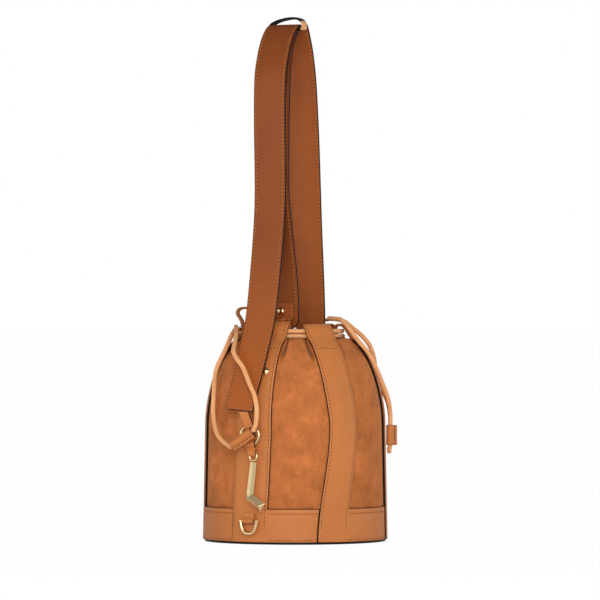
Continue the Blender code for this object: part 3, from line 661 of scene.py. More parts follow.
# ---- suede gores and lining
def gore_point(index, share, height, inset):
    """Suede between two panels' centre lines. It swells between the panels, gathers towards the drawcord and
    sinks beside the panel edges under the rim."""
    panel, following = PANELS[index], PANELS[(index + 1) % 6]
    turn = 360.0 if following[1] < panel[1] else 0.0
    inset -= SUEDE_LIFT * smoothstep(0.034, 0.040, height) * (1.0 - smoothstep(0.200, 0.216, height))
    radius, level = inner_profile(height, inset)
    seam = degrees(GAP / 2.0 / radius)
    start = panel_azimuth(panel, height) + seam
    end = panel_azimuth(following, height) + turn - seam
    azimuth = start + (end - start) * share
    left = start + degrees(panel[2] / 2.0 / max(radius, RIM_RADIUS))
    right = end - degrees(following[2] / 2.0 / max(radius, RIM_RADIUS))
    inside = (azimuth - left) / (right - left)
    open_part = smoothstep(0.02, 0.16, inside) * smoothstep(0.02, 0.16, 1.0 - inside)
    place = polar(azimuth, radius, level)
    rise = smoothstep(0.150, 0.222, height)
    swell = SUEDE_SWELL * open_part * sin(pi * min(1.0, max(0.0, inside)))
    swell *= smoothstep(0.030, 0.080, height) * (1.0 - 0.5 * rise)
    waves = sin(2.0 * pi * (2.5 * inside + 0.35 * index) + 2.0 * sin(height * 42.0 + index))
    gather = SUEDE_GATHER * rise * waves * open_part
    edge = exp(-((inside - 0.05) / 0.065) ** 2) + exp(-((inside - 0.95) / 0.065) ** 2)
    tuck = -SUEDE_TUCK * smoothstep(0.196, 0.212, height) * edge
    soft = noise.fractal(place * 26.0 + Vector((0.0, 0.0, index * 7.3)), 1.0, 2.0, 4)
    crease = noise.noise(place * 60.0 + Vector((index * 3.1, 0.0, 0.0)))
    amount = swell + gather + tuck + open_part * (SUEDE_SOFTNESS * soft + SUEDE_CREASE * crease)
    slope = outer_radius(height + 0.0005) - outer_radius(height - 0.0005)
    normal = Vector((0.001, -slope)).normalized()
    return polar(azimuth, radius + amount * normal.x, level + amount * normal.y)


def build_gore(index):
    columns, levels = 96, 110
    bm = bmesh.new()
    rows = []
    for level in range(levels + 1):
        height = SUEDE_BOTTOM + (SUEDE_TOP - SUEDE_BOTTOM) * level / levels
        rows.append([bm.verts.new(gore_point(index, column / columns, height, SUEDE_INSET))
                     for column in range(columns + 1)])
    grid_faces(bm, rows)
    name = "suede_gore_%d" % (index + 1)
    obj = add_piece(name + "_nap", bm, ("suede", "edge"), "bag", "suede", name)
    thicken(obj, SUEDE_THICKNESS, -1.0, 0, 0.0, False)


def build_lining():
    """Woven lining with soft vertical folds that deepen towards the drawcord, and a flat floor."""
    around, levels = 180, 60
    bm = bmesh.new()
    rows = []
    for level in range(levels + 1):
        height = LINING_TOP - (LINING_TOP - LINING_BOTTOM) * level / levels
        radius, z = inner_profile(height, LINING_INSET)
        fold = 0.0006 + 0.0016 * smoothstep(0.150, 0.222, height)
        row = []
        for step in range(around):
            azimuth = 360.0 * step / around
            wave = sin(radians(azimuth * 14.0) + 1.5 * sin(height * 30.0))
            place = polar(azimuth, radius, z)
            soft = noise.fractal(place * 30.0, 1.0, 2.0, 3)
            row.append(bm.verts.new(polar(azimuth, radius + fold * wave * 0.5 + 0.0008 * soft, z)))
        rows.append(row + row[:1])
    for lower, upper in zip(rows, rows[1:]):
        for left in range(around):
            bm.faces.new((lower[left + 1], lower[left], upper[left], upper[left + 1]))
    centre = bm.verts.new((0.0, 0.0, rows[-1][0].co.z))
    for left in range(around):
        bm.faces.new((rows[-1][left + 1], rows[-1][left], centre))
    obj = add_piece("lining_cloth_bag", bm, ("lining",), "bag", "lining_cloth", "lining_bag")
    thicken(obj, LINING_THICKNESS, -1.0, 0, 0.0)


# ---- ribbons, cords and rings
def ribbon_rows(line, width, corner=0.0, end_width=None, crown=0.0, slant=0.0):
    """Places across a ribbon along a centre line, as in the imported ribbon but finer."""
    columns = 14
    rows = []
    travelled = 0.0
    previous = line[0]
    for index, point in enumerate(line):
        travelled += (point - previous).length
        previous = point
        share = index / (len(line) - 1)
        half = width / 2.0
        if end_width:
            half += (end_width - width) / 2.0 * share ** 2
        if travelled < corner:
            half += sqrt(max(0.0, corner ** 2 - (corner - travelled) ** 2)) - corner
            half = max(STRAP_TIP / 2.0, half)
        following = line[min(index + 1, len(line) - 1)]
        before = line[max(index - 1, 0)]
        along = (following - before).normalized()
        normal = SIDE.cross(along)
        row = []
        for column in range(columns + 1):
            across = 2.0 * column / columns - 1.0
            shift = along * slant * across * smoothstep(0.94, 1.0, share)
            row.append(point + SIDE * half * across + normal * crown * (across ** 2 - 0.35) + shift)
        rows.append(row)
    return rows


def build_ribbon(node, rows, thickness, body, materials, bevel=0.0005):
    bm = bmesh.new()
    grid_faces(bm, [[bm.verts.new(place) for place in row] for row in rows])
    obj = add_piece(node + "_leather", bm, materials, body, "tan_leather", node)
    thicken(obj, thickness, 0.0, 1, bevel)


def ribbon_stitch_runs(rows, thickness, inset=STITCH_INSET, first=0, last=None, faces=(1.0, -1.0)):
    """Runs of stitches along both margins of a ribbon, on its faces."""
    runs = []
    chosen = rows[first:last]
    for face in faces:
        for end, inner in ((0, 1), (-1, -2)):
            points, beside = [], []
            for index, row in enumerate(chosen):
                inward = (row[inner] - row[end]).normalized()
                following = chosen[min(index + 1, len(chosen) - 1)][end]
                before = chosen[max(index - 1, 0)][end]
                along = (following - before).normalized()
                direction = inward if end == 0 else -inward
                normal = direction.cross(along).normalized()
                place = row[end] + inward * inset + normal * face * thickness / 2.0
                points.append(place)
                beside.append(place + direction * 0.001)
            runs.append((points, beside, -face))
    return runs


def tube(bm, points, radius, sides, cyclic=False, groove=0.0, start_normal=None):
    """Sweep a round section along a line. A groove presses a seam line into one side of the section."""
    count = len(points)
    normal = (start_normal or UP).copy()
    rings = []
    for index, point in enumerate(points):
        before = points[index - 1] if index or cyclic else point
        after = points[(index + 1) % count] if index + 1 < count or cyclic else point
        along = (after - before).normalized()
        reference = start_normal if groove and start_normal else normal
        normal = (reference - along * reference.dot(along)).normalized()
        across = along.cross(normal)
        ring = []
        for side in range(sides):
            angle = 2.0 * pi * side / sides
            reach = radius * (1.0 - groove) if groove and side == 0 else radius
            ring.append(bm.verts.new(point + (normal * cos(angle) + across * sin(angle)) * reach))
        rings.append(ring)
    pairs = list(zip(rings, rings[1:]))
    if cyclic:
        pairs.append((rings[-1], rings[0]))
    for first, second in pairs:
        bridge(bm, first, second)
    if not cyclic:
        bm.faces.new(list(reversed(rings[0])))
        bm.faces.new(rings[-1])


def build_wire(node, points, radius, body, sides):
    """Closed ring of round gold wire."""
    bm = bmesh.new()
    tube(bm, points, radius, sides, True, 0.0, OUT)
    bmesh.ops.recalc_face_normals(bm, faces=bm.faces)
    add_piece(node + "_metal", bm, ("gold",), body, "gold_metal", node)


def build_cord(node, points, body, facing=None):
    """Rolled leather cord with its seam pressed in."""
    bm = bmesh.new()
    tube(bm, points, CORD_RADIUS, 16, False, CORD_SEAM, facing)
    bmesh.ops.recalc_face_normals(bm, faces=bm.faces)
    add_piece(node + "_leather", bm, ("cord",), body, "cord_leather", node)


def circle(centre, first, second, radius, steps):
    return [centre + (first * cos(2.0 * pi * step / steps)
                      + second * sin(2.0 * pi * step / steps)) * radius for step in range(steps)]


# ---- shoulder strap
def near_leg_line():
    places = ((PIVOT_HEIGHT - STRAP_WIDTH / 2.0 - 0.0005, 0.0270), (0.240, 0.0270), (0.252, 0.0270),
              (0.270, 0.0275), (0.300, 0.0320), (0.331, 0.0385), (0.385, 0.0480), (0.440, 0.0480),
              (0.495, 0.0460), (0.528, 0.0420), (0.548, 0.0355), (0.5585, 0.0265))
    return smooth_path([strap_point(out, 0.0, height) for height, out in places], 9)


def far_leg_line():
    places = ((0.2325, -0.0310), (0.241, -0.0310), (0.2525, -0.0310), (0.285, -0.0290), (0.339, -0.0246),
              (0.384, -0.0216), (0.440, -0.0180), (0.501, -0.0120), (0.535, -0.0050), (0.5575, 0.0034),
              (0.5665, 0.0080))
    return smooth_path([strap_point(out, 0.0, height) for height, out in places], 10)


def build_leg(side_name, line, corner):
    rows = ribbon_rows(line, STRAP_WIDTH, corner, None, STRAP_CROWN)
    name = "strap_%s_leg" % side_name
    # the near leg's leather is a darker copy, painted shade where it lies behind the tail; both legs darken
    # towards the top as painted shade
    build_ribbon(name, rows, RIBBON_THICKNESS, "shoulder_strap", ("strap_" + side_name, "edge"))
    runs = []
    for face in (1.0, -1.0):
        # the near leg's face against the tail has no stitches where the two runs lie flat together
        last = -FLAT_ROWS if side_name == "near" and face > 0.0 else None
        runs += ribbon_stitch_runs(rows, RIBBON_THICKNESS, STITCH_INSET, 12, last, (face,))
    stitch_rows(name + "_stitching", runs, "shoulder_strap")


def build_apex_loop():
    """Leather loop with black painted edges that holds the strap's three runs together at the top. Its face
    is near black, partly for black edge paint and partly as painted shade of its underside; it is tan where
    its outer face catches the light.
    """
    outline = closed_path([Vector((side, height)) for side, height in APEX_OUTLINE], 9)
    bm = bmesh.new()
    rows = []
    for step in range(7):
        out = APEX_OUT + APEX_DEPTH * step / 6.0
        rows.append([bm.verts.new(strap_point(out, side, height)) for side, height in outline])
    for first, second in zip(rows, rows[1:]):
        for index, face in enumerate(bridge(bm, first, second)):
            side, height = (outline[index] + outline[(index + 1) % len(outline)]) / 2.0
            # tan where the outer face catches the light; near black elsewhere, partly painted shade
            if side > APEX_LIT_SIDE and height < APEX_LIT_HEIGHT:
                face.material_index = 2
    obj = add_piece("apex_loop_band", bm, ("loop", "edge", "cord"), "shoulder_strap", "black_leather",
                    "apex_loop")
    thicken(obj, LOOP_THICKNESS, -1.0, 1, 0.0004)


def build_strap():
    build_leg("near", near_leg_line(), NEAR_CORNER)
    build_leg("far", far_leg_line(), FAR_CORNER)
    build_apex_loop()


def build_anchor(name, out_rim, rim_height, out_pivot, sign):
    foot = out_pivot + sign * (STRAP_THICKNESS + GAP)
    places = ((out_rim, rim_height), (out_rim - sign * 0.006, rim_height + 0.0007),
              (foot + sign * 0.006, rim_height + 0.0002), (foot + sign * 0.0005, rim_height + 0.0042),
              (foot, (rim_height + 0.0042 + ANCHOR_TOP) / 2.0), (foot, ANCHOR_TOP))
    line = smooth_path([strap_point(out, 0.0, height) for out, height in places], 8)
    rows = ribbon_rows(line, ANCHOR_WIDTH, ANCHOR_CORNER)
    # the strap leather darkens towards the top: painted shade
    build_ribbon(name, rows, ANCHOR_THICKNESS, "bag", ("strap", "strap"))
    runs = ribbon_stitch_runs(rows, ANCHOR_THICKNESS, 0.0025, 2, None, (sign,))
    stitch_rows(name + "_stitching", runs, "bag")


# ---- studs, eyelet
def build_turned(name, profile, place, facing, node):
    """Turned metal piece from (radius, rise) pairs, facing the given way."""
    turn = UP.rotation_difference(facing).to_matrix()
    bm = bmesh.new()
    steps = 40
    rings = []
    for radius, rise in profile:
        if radius < 1e-6:
            rings.append([bm.verts.new(place + turn @ Vector((0.0, 0.0, rise)))])
            continue
        angles = [2.0 * pi * step / steps for step in range(steps)]
        rings.append([bm.verts.new(place + turn @ Vector((radius * cos(a), radius * sin(a), rise)))
                      for a in angles])
    for first, second in zip(rings, rings[1:]):
        for step in range(steps):
            following = (step + 1) % steps
            if len(first) == 1:
                bm.faces.new((first[0], second[step], second[following]))
            elif len(second) == 1:
                bm.faces.new((first[step], second[0], first[following]))
            else:
                bm.faces.new((first[step], second[step], second[following], first[following]))
    bmesh.ops.recalc_face_normals(bm, faces=bm.faces)
    add_piece(name, bm, ("gold",), "bag", "gold_metal", node)


STUD_PROFILE = ((0.0, 0.0034), (0.0012, 0.0034), (0.0021, 0.0031), (0.0023, 0.0026), (0.0027, 0.0025),
                (0.0036, 0.0022), (0.0043, 0.0014), (0.0047, 0.0006), (0.0048, 0.0002), (0.0046, 0.0),
                (0.0, 0.0))


def build_studs():
    lift = STRAP_THICKNESS * 1.6 + GAP
    near = strap_point(PIVOT_OUT_NEAR + lift, 0.0, PIVOT_HEIGHT)
    far = strap_point(PIVOT_OUT_FAR - lift, 0.0, PIVOT_HEIGHT)
    radius, level = inner_profile(PANEL_STUD_HEIGHT, -(PANEL_PROUD + GAP))
    on_panel = polar(PANEL_STUD_AZIMUTH, radius, level)
    facing = polar(PANEL_STUD_AZIMUTH, radius - outer_radius(PANEL_STUD_HEIGHT), level - PANEL_STUD_HEIGHT)
    for node, place, outward in (("strap_stud_near", near, OUT), ("strap_stud_far", far, -OUT),
                                 ("panel_stud", on_panel, facing.normalized())):
        build_turned(node + "_head", STUD_PROFILE, place, outward, node)


def build_eyelet():
    direction = polar(CORD_EXIT_LEFT, 1.0, 0.45).normalized()
    centre = polar(CORD_EXIT_LEFT, 0.0610, 0.2290) + direction * 0.0016
    profile = ((0.0036, -0.0036), (0.0037, 0.0002), (0.0041, 0.0010), (0.0049, 0.0014), (0.0058, 0.0012),
               (0.0064, 0.0005), (0.0065, 0.0), (0.0050, -0.0002), (0.0045, -0.0034), (0.0036, -0.0036))
    build_turned("cord_eyelet_left_ring", profile, centre, direction, "cord_eyelet_left")


# ---- strap tail, ring and hook
def tail_line():
    places = ((0.5655, 0.0225, 0.0), (0.5610, 0.0300, 0.0), (0.5490, 0.0400, 0.0), (0.5320, 0.0480, 0.0),
              (0.5070, 0.0545, 0.0), (0.4600, 0.0560, 0.0), (0.3850, 0.0545, 0.0), (0.3400, 0.0580, 0.0),
              (0.2900, 0.0660, 0.0), (0.2450, 0.0755, 0.0), (0.2080, 0.0875, -0.0020),
              (0.1850, 0.0965, -0.0030), (0.1640, 0.1045, -0.0045), (0.1450, 0.1105, -0.0060))
    return smooth_path([strap_point(out, side, height) for height, out, side in places], 8)


FOLD_PLACES = 9
FOLD_STEP = 27.5


def fold(centre, radius, first_angle, shifts=(0.0,) * FOLD_PLACES):
    """(out, side, height) places of a tab folded round a wire, clockwise from the first angle."""
    out, side, height = centre
    places = []
    for step, shift in enumerate(shifts):
        angle = radians(first_angle - FOLD_STEP * step)
        places.append((out + radius * cos(angle), side + shift, height + radius * sin(angle)))
    return places


def build_tail():
    rows = ribbon_rows(tail_line(), STRAP_WIDTH, 0.0, TAIL_END_WIDTH, STRAP_CROWN, TAIL_SLANT)
    # the strap leather darkens towards the top: painted shade
    build_ribbon("strap_tail", rows, RIBBON_THICKNESS, "tail", ("strap", "edge"))
    runs = ribbon_stitch_runs(rows, RIBBON_THICKNESS, STITCH_INSET, 4)
    low = rows[-3]
    runs.append((low[2:-2], [place + UP * 0.001 for place in low[2:-2]], 1.0))
    stitch_rows("strap_tail_stitching", runs, "tail")
    top = TAIL_RING_CENTRE[2] + TAIL_RING_RADIUS
    out, side = TAIL_RING_CENTRE[:2]
    tab = [(0.1095, side - 0.006, 0.1440), (out + 0.0042, side - 0.002, top + 0.006)]
    tab += fold((out, side, top - 0.0009), 0.0037, 20.0)
    tab.append((out - 0.0040, side, top + 0.0070))
    rows = ribbon_rows(smooth_path([strap_point(*place) for place in tab], 4), TAIL_TAB_WIDTH)
    build_ribbon("tail_tab", rows, TAIL_TAB_THICKNESS, "tail", ("leather", "edge"), TAB_ARRIS)
    runs = ribbon_stitch_runs(rows, TAIL_TAB_THICKNESS, TAB_STITCH_INSET, 0, 8, (1.0,))
    stitch_rows("tail_tab_stitching", runs, "tail")
    ring = circle(strap_point(*TAIL_RING_CENTRE), SIDE, UP, TAIL_RING_RADIUS, 72)
    build_wire("tail_ring", ring, TAIL_RING_WIRE, "tail_ring", 16)


HOOK_FACING = -42.0
HOOK_SLANT = 0.0026
HOOK_ARRIS = 0.00035


def hook_frame():
    top = strap_point(0.1075, 0.0098, 0.0895)
    bottom = strap_point(0.1075, 0.0050, 0.0510)
    toe = strap_point(0.1110, 0.0228, 0.0402)
    return top, bottom, toe


def prism_section(centre, along, outward, size):
    across = along.cross(outward).normalized()
    facing = across.cross(along).normalized()
    return [centre + facing * size * 0.36, centre + across * size * 0.56 - facing * size * 0.12,
            centre - across * size * 0.56 - facing * size * 0.12]


def eye_centre():
    return hook_frame()[0] + UP * (EYE_RADIUS + EYE_WIRE + GAP)


def build_hook():
    """Angular hook: a shallow triangular bar, bent at its foot and cut off at a slant, with crisp arrises."""
    top, bottom, toe = hook_frame()
    stem = (bottom - top).normalized()
    foot = (toe - bottom).normalized()
    front = polar(HOOK_FACING, 1.0, 0.0)
    bm = bmesh.new()
    for start, end, facing, first_size, last_size in (
            (top, bottom + stem * 0.0012, front, 0.0066, 0.0072),
            (bottom - foot * 0.0030, toe, OUT, 0.0080, 0.0106)):
        along = (end - start).normalized()
        rows = [[bm.verts.new(point) for point in prism_section(place, along, facing, size)]
                for place, size in ((start, first_size), (end, last_size))]
        if facing is OUT:
            rows[1][0].co -= foot * HOOK_SLANT
        bridge(bm, *rows)
        bm.faces.new(list(reversed(rows[0])))
        bm.faces.new(rows[1])
    bmesh.ops.recalc_face_normals(bm, faces=bm.faces)
    obj = add_piece("hook_bar", bm, ("gold",), "hook", "gold_metal", "hook")
    bevel = obj.modifiers.new("arris", "BEVEL")
    bevel.width = HOOK_ARRIS
    bevel.segments = 3
    bevel.limit_method = "ANGLE"
    bevel.harden_normals = True
    eye = circle(eye_centre(), SIDE, UP, EYE_RADIUS, 56)
    build_wire("hook_eye", eye, EYE_WIRE, "hook_tab", 14)


def build_hook_tab():
    out, side, height = TAIL_RING_CENTRE
    ring_low = height - TAIL_RING_RADIUS + 0.0008
    eye = eye_centre()
    eye_high = eye.z + EYE_RADIUS - 0.0006
    eye_side = eye.dot(SIDE)
    lean = (eye_side - side) * 0.3
    shifts = [lean * max(0.0, (step - 4) / 4.0) for step in range(FOLD_PLACES)]
    round_ring = fold((out, side, ring_low), 0.0034, 150.0, shifts)
    round_eye = fold((eye.dot(OUT), eye_side, eye_high), 0.0032, 70.0, [-shift for shift in shifts[::-1]])
    middle = tuple((low + high) / 2.0 for low, high in zip(round_ring[-1], round_eye[0]))
    line = smooth_path([strap_point(*place) for place in round_ring + [middle] + round_eye], 4)
    rows = ribbon_rows(line, HOOK_TAB_WIDTH, 0.0, HOOK_TAB_END_WIDTH)
    build_ribbon("hook_tab", rows, HOOK_TAB_THICKNESS, "hook_tab", ("leather", "edge"), TAB_ARRIS)


# ---- base D-rings
def build_base_ring(suffix, sign):
    out = outer_radius(BASE_RING_HEIGHT) + PANEL_PROUD
    side = BASE_RING_SHIFT if sign > 0.0 else 0.0
    pin = strap_point(sign * (out + 0.0034), side, BASE_RING_HEIGHT)
    facing = OUT * sign
    bow = []
    for step in range(41):
        angle = radians(180.0 + 180.0 * step / 40)
        drop = BASE_RING_RADIUS * 1.40 * sin(angle)
        wide = BASE_RING_RADIUS * copysign(abs(cos(angle)) ** 0.8, cos(angle))
        bow.append(pin + SIDE * wide + UP * drop)
    bm = bmesh.new()
    tube(bm, bow, BASE_RING_WIRE, 14, False, 0.0, facing)
    reach = BASE_RING_RADIUS + 0.0009
    bar = [pin + SIDE * reach * share for share in (-1.0, -0.5, 0.0, 0.5, 1.0)]
    tube(bm, bar, PIN_RADIUS, 12, False, 0.0, UP)
    bmesh.ops.recalc_face_normals(bm, faces=bm.faces)
    for end in (-1.0, 1.0):
        bmesh.ops.create_uvsphere(bm, u_segments=20, v_segments=12, radius=0.0017,
                                  matrix=Matrix.Translation(pin + SIDE * reach * end))
    name = "base_ring_" + suffix
    add_piece(name + "_metal", bm, ("gold",), name, "gold_metal", name)
    line = [strap_point(sign * (out + 0.0025), side, BASE_RING_HEIGHT + 0.0085),
            strap_point(sign * (out + 0.0027), side, BASE_RING_HEIGHT + 0.0045)]
    for step in range(8):
        angle = radians(120.0 - 35.0 * step)
        line.append(pin + facing * 0.0024 * cos(angle) + UP * 0.0024 * sin(angle))
    rows = ribbon_rows(smooth_path(line, 5), RING_TAB_WIDTH)
    tab = "base_ring_tab_" + suffix
    build_ribbon(tab, rows, RING_TAB_THICKNESS, "bag", ("leather", "leather"), TAB_ARRIS)
    runs = ribbon_stitch_runs(rows, RING_TAB_THICKNESS, TAB_STITCH_INSET, 0, 9, (sign,))
    stitch_rows(tab + "_stitching", runs, "bag")


# ---- drawcords
def build_rim_cord(name, exit_azimuth, height):
    """The run of a drawcord round the rim, with a gap where its loop leaves."""
    points = []
    for step in range(161):
        azimuth = exit_azimuth + 9.0 + 342.0 * step / 160
        points.append(polar(azimuth, RIM_CORD_RADIUS, height))
    build_cord(name, points, "bag")


def left_cord_points():
    down = ((0.0310, -0.0585, 0.2320), (0.0500, -0.0510, 0.2270), (0.0690, -0.0480, 0.2110),
            (0.0760, -0.0560, 0.1870), (0.0885, -0.0515, 0.1600), (0.0910, -0.0505, 0.1430),
            (0.0970, -0.0455, 0.1310), (0.1050, -0.0370, 0.1190), (0.1110, -0.0255, 0.1106),
            (0.1150, -0.0145, 0.1062))
    up = ((0.1165, 0.0155, 0.1245), (0.1165, 0.0185, 0.1320), (0.1155, 0.0187, 0.1470),
          (0.1125, 0.0140, 0.1620), (0.1085, 0.0055, 0.1740), (0.1035, -0.0050, 0.1906),
          (0.1015, -0.0130, 0.1990), (0.0965, -0.0215, 0.2085), (0.0830, -0.0275, 0.2190),
          (0.0680, -0.0350, 0.2285), (0.0530, -0.0440, 0.2345), (0.0390, -0.0530, 0.2350))
    return down, up


def build_left_cord():
    down, up = left_cord_points()
    start = strap_point(*down[-1])
    end = strap_point(*up[0])
    inside = [start.lerp(end, 0.06), start.lerp(end, 0.94)]
    places = [strap_point(*place) for place in down] + inside + [strap_point(*place) for place in up]
    build_cord("cord_left_loop", smooth_path(places, 10), "cord_left", OUT)
    build_keeper("keeper_left", inside[0], inside[1], OUT, 0.0, "cord_left")


def right_point(out, across, height):
    return polar(CORD_EXIT_RIGHT, out, height) + polar(CORD_EXIT_RIGHT + 90.0, across, 0.0)


def build_right_cord():
    down = ((0.0365, 0.0010, 0.2440), (0.0440, -0.0080, 0.2436), (0.0510, -0.0152, 0.2424),
            (0.0600, -0.0210, 0.2322), (0.0690, -0.0208, 0.2200), (0.0805, -0.0185, 0.2060),
            (0.0875, -0.0150, 0.1925), (0.0952, -0.0100, 0.1743), (0.1020, -0.0055, 0.1560),
            (0.1045, -0.0031, 0.1400), (0.1045, -0.0031, 0.1200), (0.1045, -0.0031, 0.1050))
    bend = []
    for step in range(1, 6):
        angle = pi * step / 6.0
        bend.append((0.1035, -0.0031 * cos(angle), 0.1050 - 0.0070 * sin(angle)))
    up = ((0.1045, 0.0031, 0.1050), (0.1045, 0.0031, 0.1200), (0.1045, 0.0031, 0.1370),
          (0.1015, 0.0095, 0.1530), (0.0945, 0.0190, 0.1680), (0.0905, 0.0237, 0.1790),
          (0.0885, 0.0235, 0.1886), (0.0868, 0.0215, 0.2013), (0.0820, 0.0185, 0.2144),
          (0.0737, 0.0160, 0.2249), (0.0640, 0.0140, 0.2330), (0.0560, 0.0130, 0.2395),
          (0.0480, 0.0120, 0.2430), (0.0370, 0.0100, 0.2445))
    points = [right_point(*place) for place in down + tuple(bend) + up]
    facing = polar(CORD_EXIT_RIGHT, 1.0, 0.0)
    build_cord("cord_right_loop", smooth_path(points, 8), "cord_right", facing)
    build_keeper("keeper_right", right_point(0.1045, 0.0, 0.1050), right_point(0.1045, 0.0, 0.1270), facing,
                 0.0031, "keeper_right")


def build_keeper(name, start, end, facing, spread, body):
    """Leather sleeve round a drawcord, or round two side by side, whose ends meet in a flat stitched flag."""
    along = (end - start).normalized()
    across = along.cross(facing).normalized()
    facing = across.cross(along).normalized()
    inner = CORD_RADIUS + GAP
    flag = [(inner, -KEEPER_SLIT), (inner + KEEPER_FLAG, -KEEPER_SLIT),
            (inner + KEEPER_FLAG, KEEPER_SLIT), (inner, KEEPER_SLIT)]
    places = []
    for half, sign in ((0, 1.0), (1, -1.0)):
        for step in range(17):
            angle = radians(-90.0 + 180.0 * step / 16 + 180.0 * half)
            if spread == 0.0 and half == 0 and step == 8:
                places += flag
            else:
                places.append((inner * cos(angle) + sign * spread, inner * sin(angle)))
        if spread > 0.0 and half == 0:
            places += [(-rise, reach) for reach, rise in flag]
    outline = [across * place[0] + facing * place[1] for place in places]
    bm = bmesh.new()
    rows = []
    for step in range(13):
        base = start.lerp(end, step / 12.0)
        rows.append([bm.verts.new(base + offset) for offset in outline])
    for lower, upper in zip(rows, rows[1:]):
        bridge(bm, lower, upper)
    bmesh.ops.remove_doubles(bm, verts=bm.verts, dist=0.00001)
    bmesh.ops.recalc_face_normals(bm, faces=bm.faces)
    obj = add_piece(name + "_leather", bm, ("leather", "edge"), body, "tan_leather", name)
    thicken(obj, KEEPER_THICKNESS, 1.0, 1, TAB_ARRIS)
    reach, plane = (across, facing) if spread == 0.0 else (facing, across)
    runs = []
    for face in (1.0, -1.0):
        level = reach * (inner + KEEPER_FLAG - 0.0006) + plane * face * (KEEPER_SLIT + KEEPER_THICKNESS)
        line = [start.lerp(end, 0.04 + 0.92 * step / 12.0) + level for step in range(13)]
        runs.append((line, [place + reach * 0.001 for place in line], face))
    points, beside, _ = runs[0]
    wanted = (points[1] - points[0]).cross(beside[0] - points[0]).dot(plane)
    turn = 1.0 if wanted > 0.0 else -1.0
    stitch_rows(name + "_stitching", [(a, b, face * turn) for a, b, face in runs], body)


# ---- base, studio and camera
def dress_base():
    """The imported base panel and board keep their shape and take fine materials."""
    for node, key in (("base_panel", "black"), ("base_board", "board")):
        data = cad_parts[node].data
        data.materials.clear()
        data.materials.append(MATERIALS[key])


# how much of the floor the camera sees as plain white
FLOOR_GLOW = 0.985


def studio_floor():
    bm = bmesh.new()
    bmesh.ops.create_grid(bm, x_segments=1, y_segments=1, size=30.0)
    mesh = bpy.data.meshes.new("floor")
    bm.to_mesh(mesh)
    bm.free()
    tree = new_material("floor_paper")
    tree.set(Roughness=0.9, Specular_IOR_Level=0.1)
    tree.link(tree.mix(linear(246, 246, 246), linear(250, 250, 250), tree.noise(3.0)), "Base Color")
    paths = tree.nodes.new("ShaderNodeLightPath")
    share = tree.nodes.new("ShaderNodeMath")
    share.operation = "MULTIPLY"
    share.inputs[1].default_value = FLOOR_GLOW
    tree.links.new(paths.outputs["Is Camera Ray"], share.inputs[0])
    blend = tree.nodes.new("ShaderNodeMixShader")
    tree.links.new(share.outputs[0], blend.inputs[0])
    tree.links.new(tree.shader.outputs["BSDF"], blend.inputs[1])
    add = tree.nodes.new("ShaderNodeEmission")
    add.inputs["Strength"].default_value = 1.0
    tree.links.new(add.outputs[0], blend.inputs[2])
    tree.links.new(blend.outputs[0], tree.nodes["Material Output"].inputs["Surface"])
    mesh.materials.append(tree.owner)
    floor = new_object("floor", mesh)
    floor.location.z = CAD_BOX[0][2] - 0.0002


def studio_world():
    """White for the camera, a soft grey for diffuse light, and a banded surround for the metal to mirror."""
    world = bpy.data.worlds.new("studio")
    bpy.context.scene.world = world
    tree = Tree(world, "Background", "Generated")
    stops = ((0.0, 0.10), (0.36, 0.05), (0.44, 0.9), (0.56, 1.0), (0.63, 0.04), (0.94, 0.04), (1.0, 0.7))
    bands = tree.ramp(tree.span(tree.height(), -1.0, 1.0, 0.0, 1.0),
                      [(place, (value, value, value, 1.0)) for place, value in stops])
    paths = tree.nodes.new("ShaderNodeLightPath").outputs
    seen = tree.mix((0.34, 0.34, 0.35, 1.0), bands, paths["Is Glossy Ray"])
    tree.link(tree.mix(seen, (1.0, 1.0, 1.0, 1.0), paths["Is Camera Ray"]), "Color")


def aim(obj, place, direction):
    obj.location = place
    obj.rotation_mode = "QUATERNION"
    obj.rotation_quaternion = direction.to_track_quat("-Z", "Y")


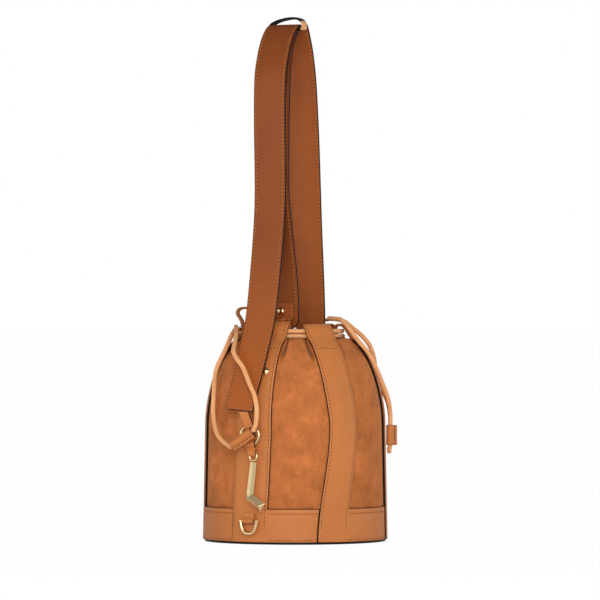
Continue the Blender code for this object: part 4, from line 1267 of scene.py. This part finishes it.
def area_light(name, place, target, size, power, colour=(1.0, 1.0, 1.0)):
    data = bpy.data.lights.new(name, "AREA")
    data.shape = "RECTANGLE"
    data.size, data.size_y = size
    data.energy = power
    data.color = colour
    aim(new_object(name, data), Vector(place), Vector(target) - Vector(place))


def studio_lights():
    middle = (0.0, 0.0, 0.18)
    area_light("key", (-0.66, -1.18, 0.50), middle, (0.9, 0.9), 11.0, (1.0, 0.99, 0.97))
    area_light("fill", (-1.9, -0.2, 0.4), middle, (1.0, 1.2), 5.5)
    area_light("right", (1.5, -1.0, 0.4), middle, (1.0, 1.2), 5.0)
    area_light("rim", (1.1, 1.3, 1.0), middle, (0.8, 1.2), 3.0)


CAMERA_AZIMUTH = -30.0
CAMERA_HEIGHT = 0.2645
CAMERA_DISTANCE = 5.5
FRAME_WIDTH = 0.660
CAMERA_SHIFT = 0.0052


def place_camera():
    toward = polar(CAMERA_AZIMUTH, 1.0, 0.0)
    right = UP.cross(toward)
    target = right * CAMERA_SHIFT + UP * CAMERA_HEIGHT
    data = bpy.data.cameras.new("camera")
    data.angle = 2.0 * atan(FRAME_WIDTH / 2.0 / CAMERA_DISTANCE)
    data.clip_end = 100.0
    camera = new_object("camera", data)
    aim(camera, target + toward * CAMERA_DISTANCE, -toward)
    bpy.context.scene.camera = camera


def build_bag():
    for index in range(len(PANELS)):
        build_panel(index)
        stitch_panel(index)
        build_gore(index)
    build_lining()
    build_strap()
    build_anchor("anchor_tab_near", 0.0505, 0.2428, PIVOT_OUT_NEAR, 1.0)
    build_anchor("anchor_tab_far", -0.0520, 0.2418, PIVOT_OUT_FAR, -1.0)
    build_studs()
    build_eyelet()
    build_tail()
    build_hook()
    build_hook_tab()
    build_base_ring("near", 1.0)
    build_base_ring("far", -1.0)
    build_rim_cord("cord_left_rim", CORD_EXIT_LEFT, RIM_CORD_HEIGHTS[0])
    build_rim_cord("cord_right_rim", CORD_EXIT_RIGHT, RIM_CORD_HEIGHTS[1])
    build_left_cord()
    build_right_cord()
    dress_base()


bpy.context.scene.view_settings.view_transform = "Standard"
build_bag()
studio_floor()
studio_world()
studio_lights()
place_camera()
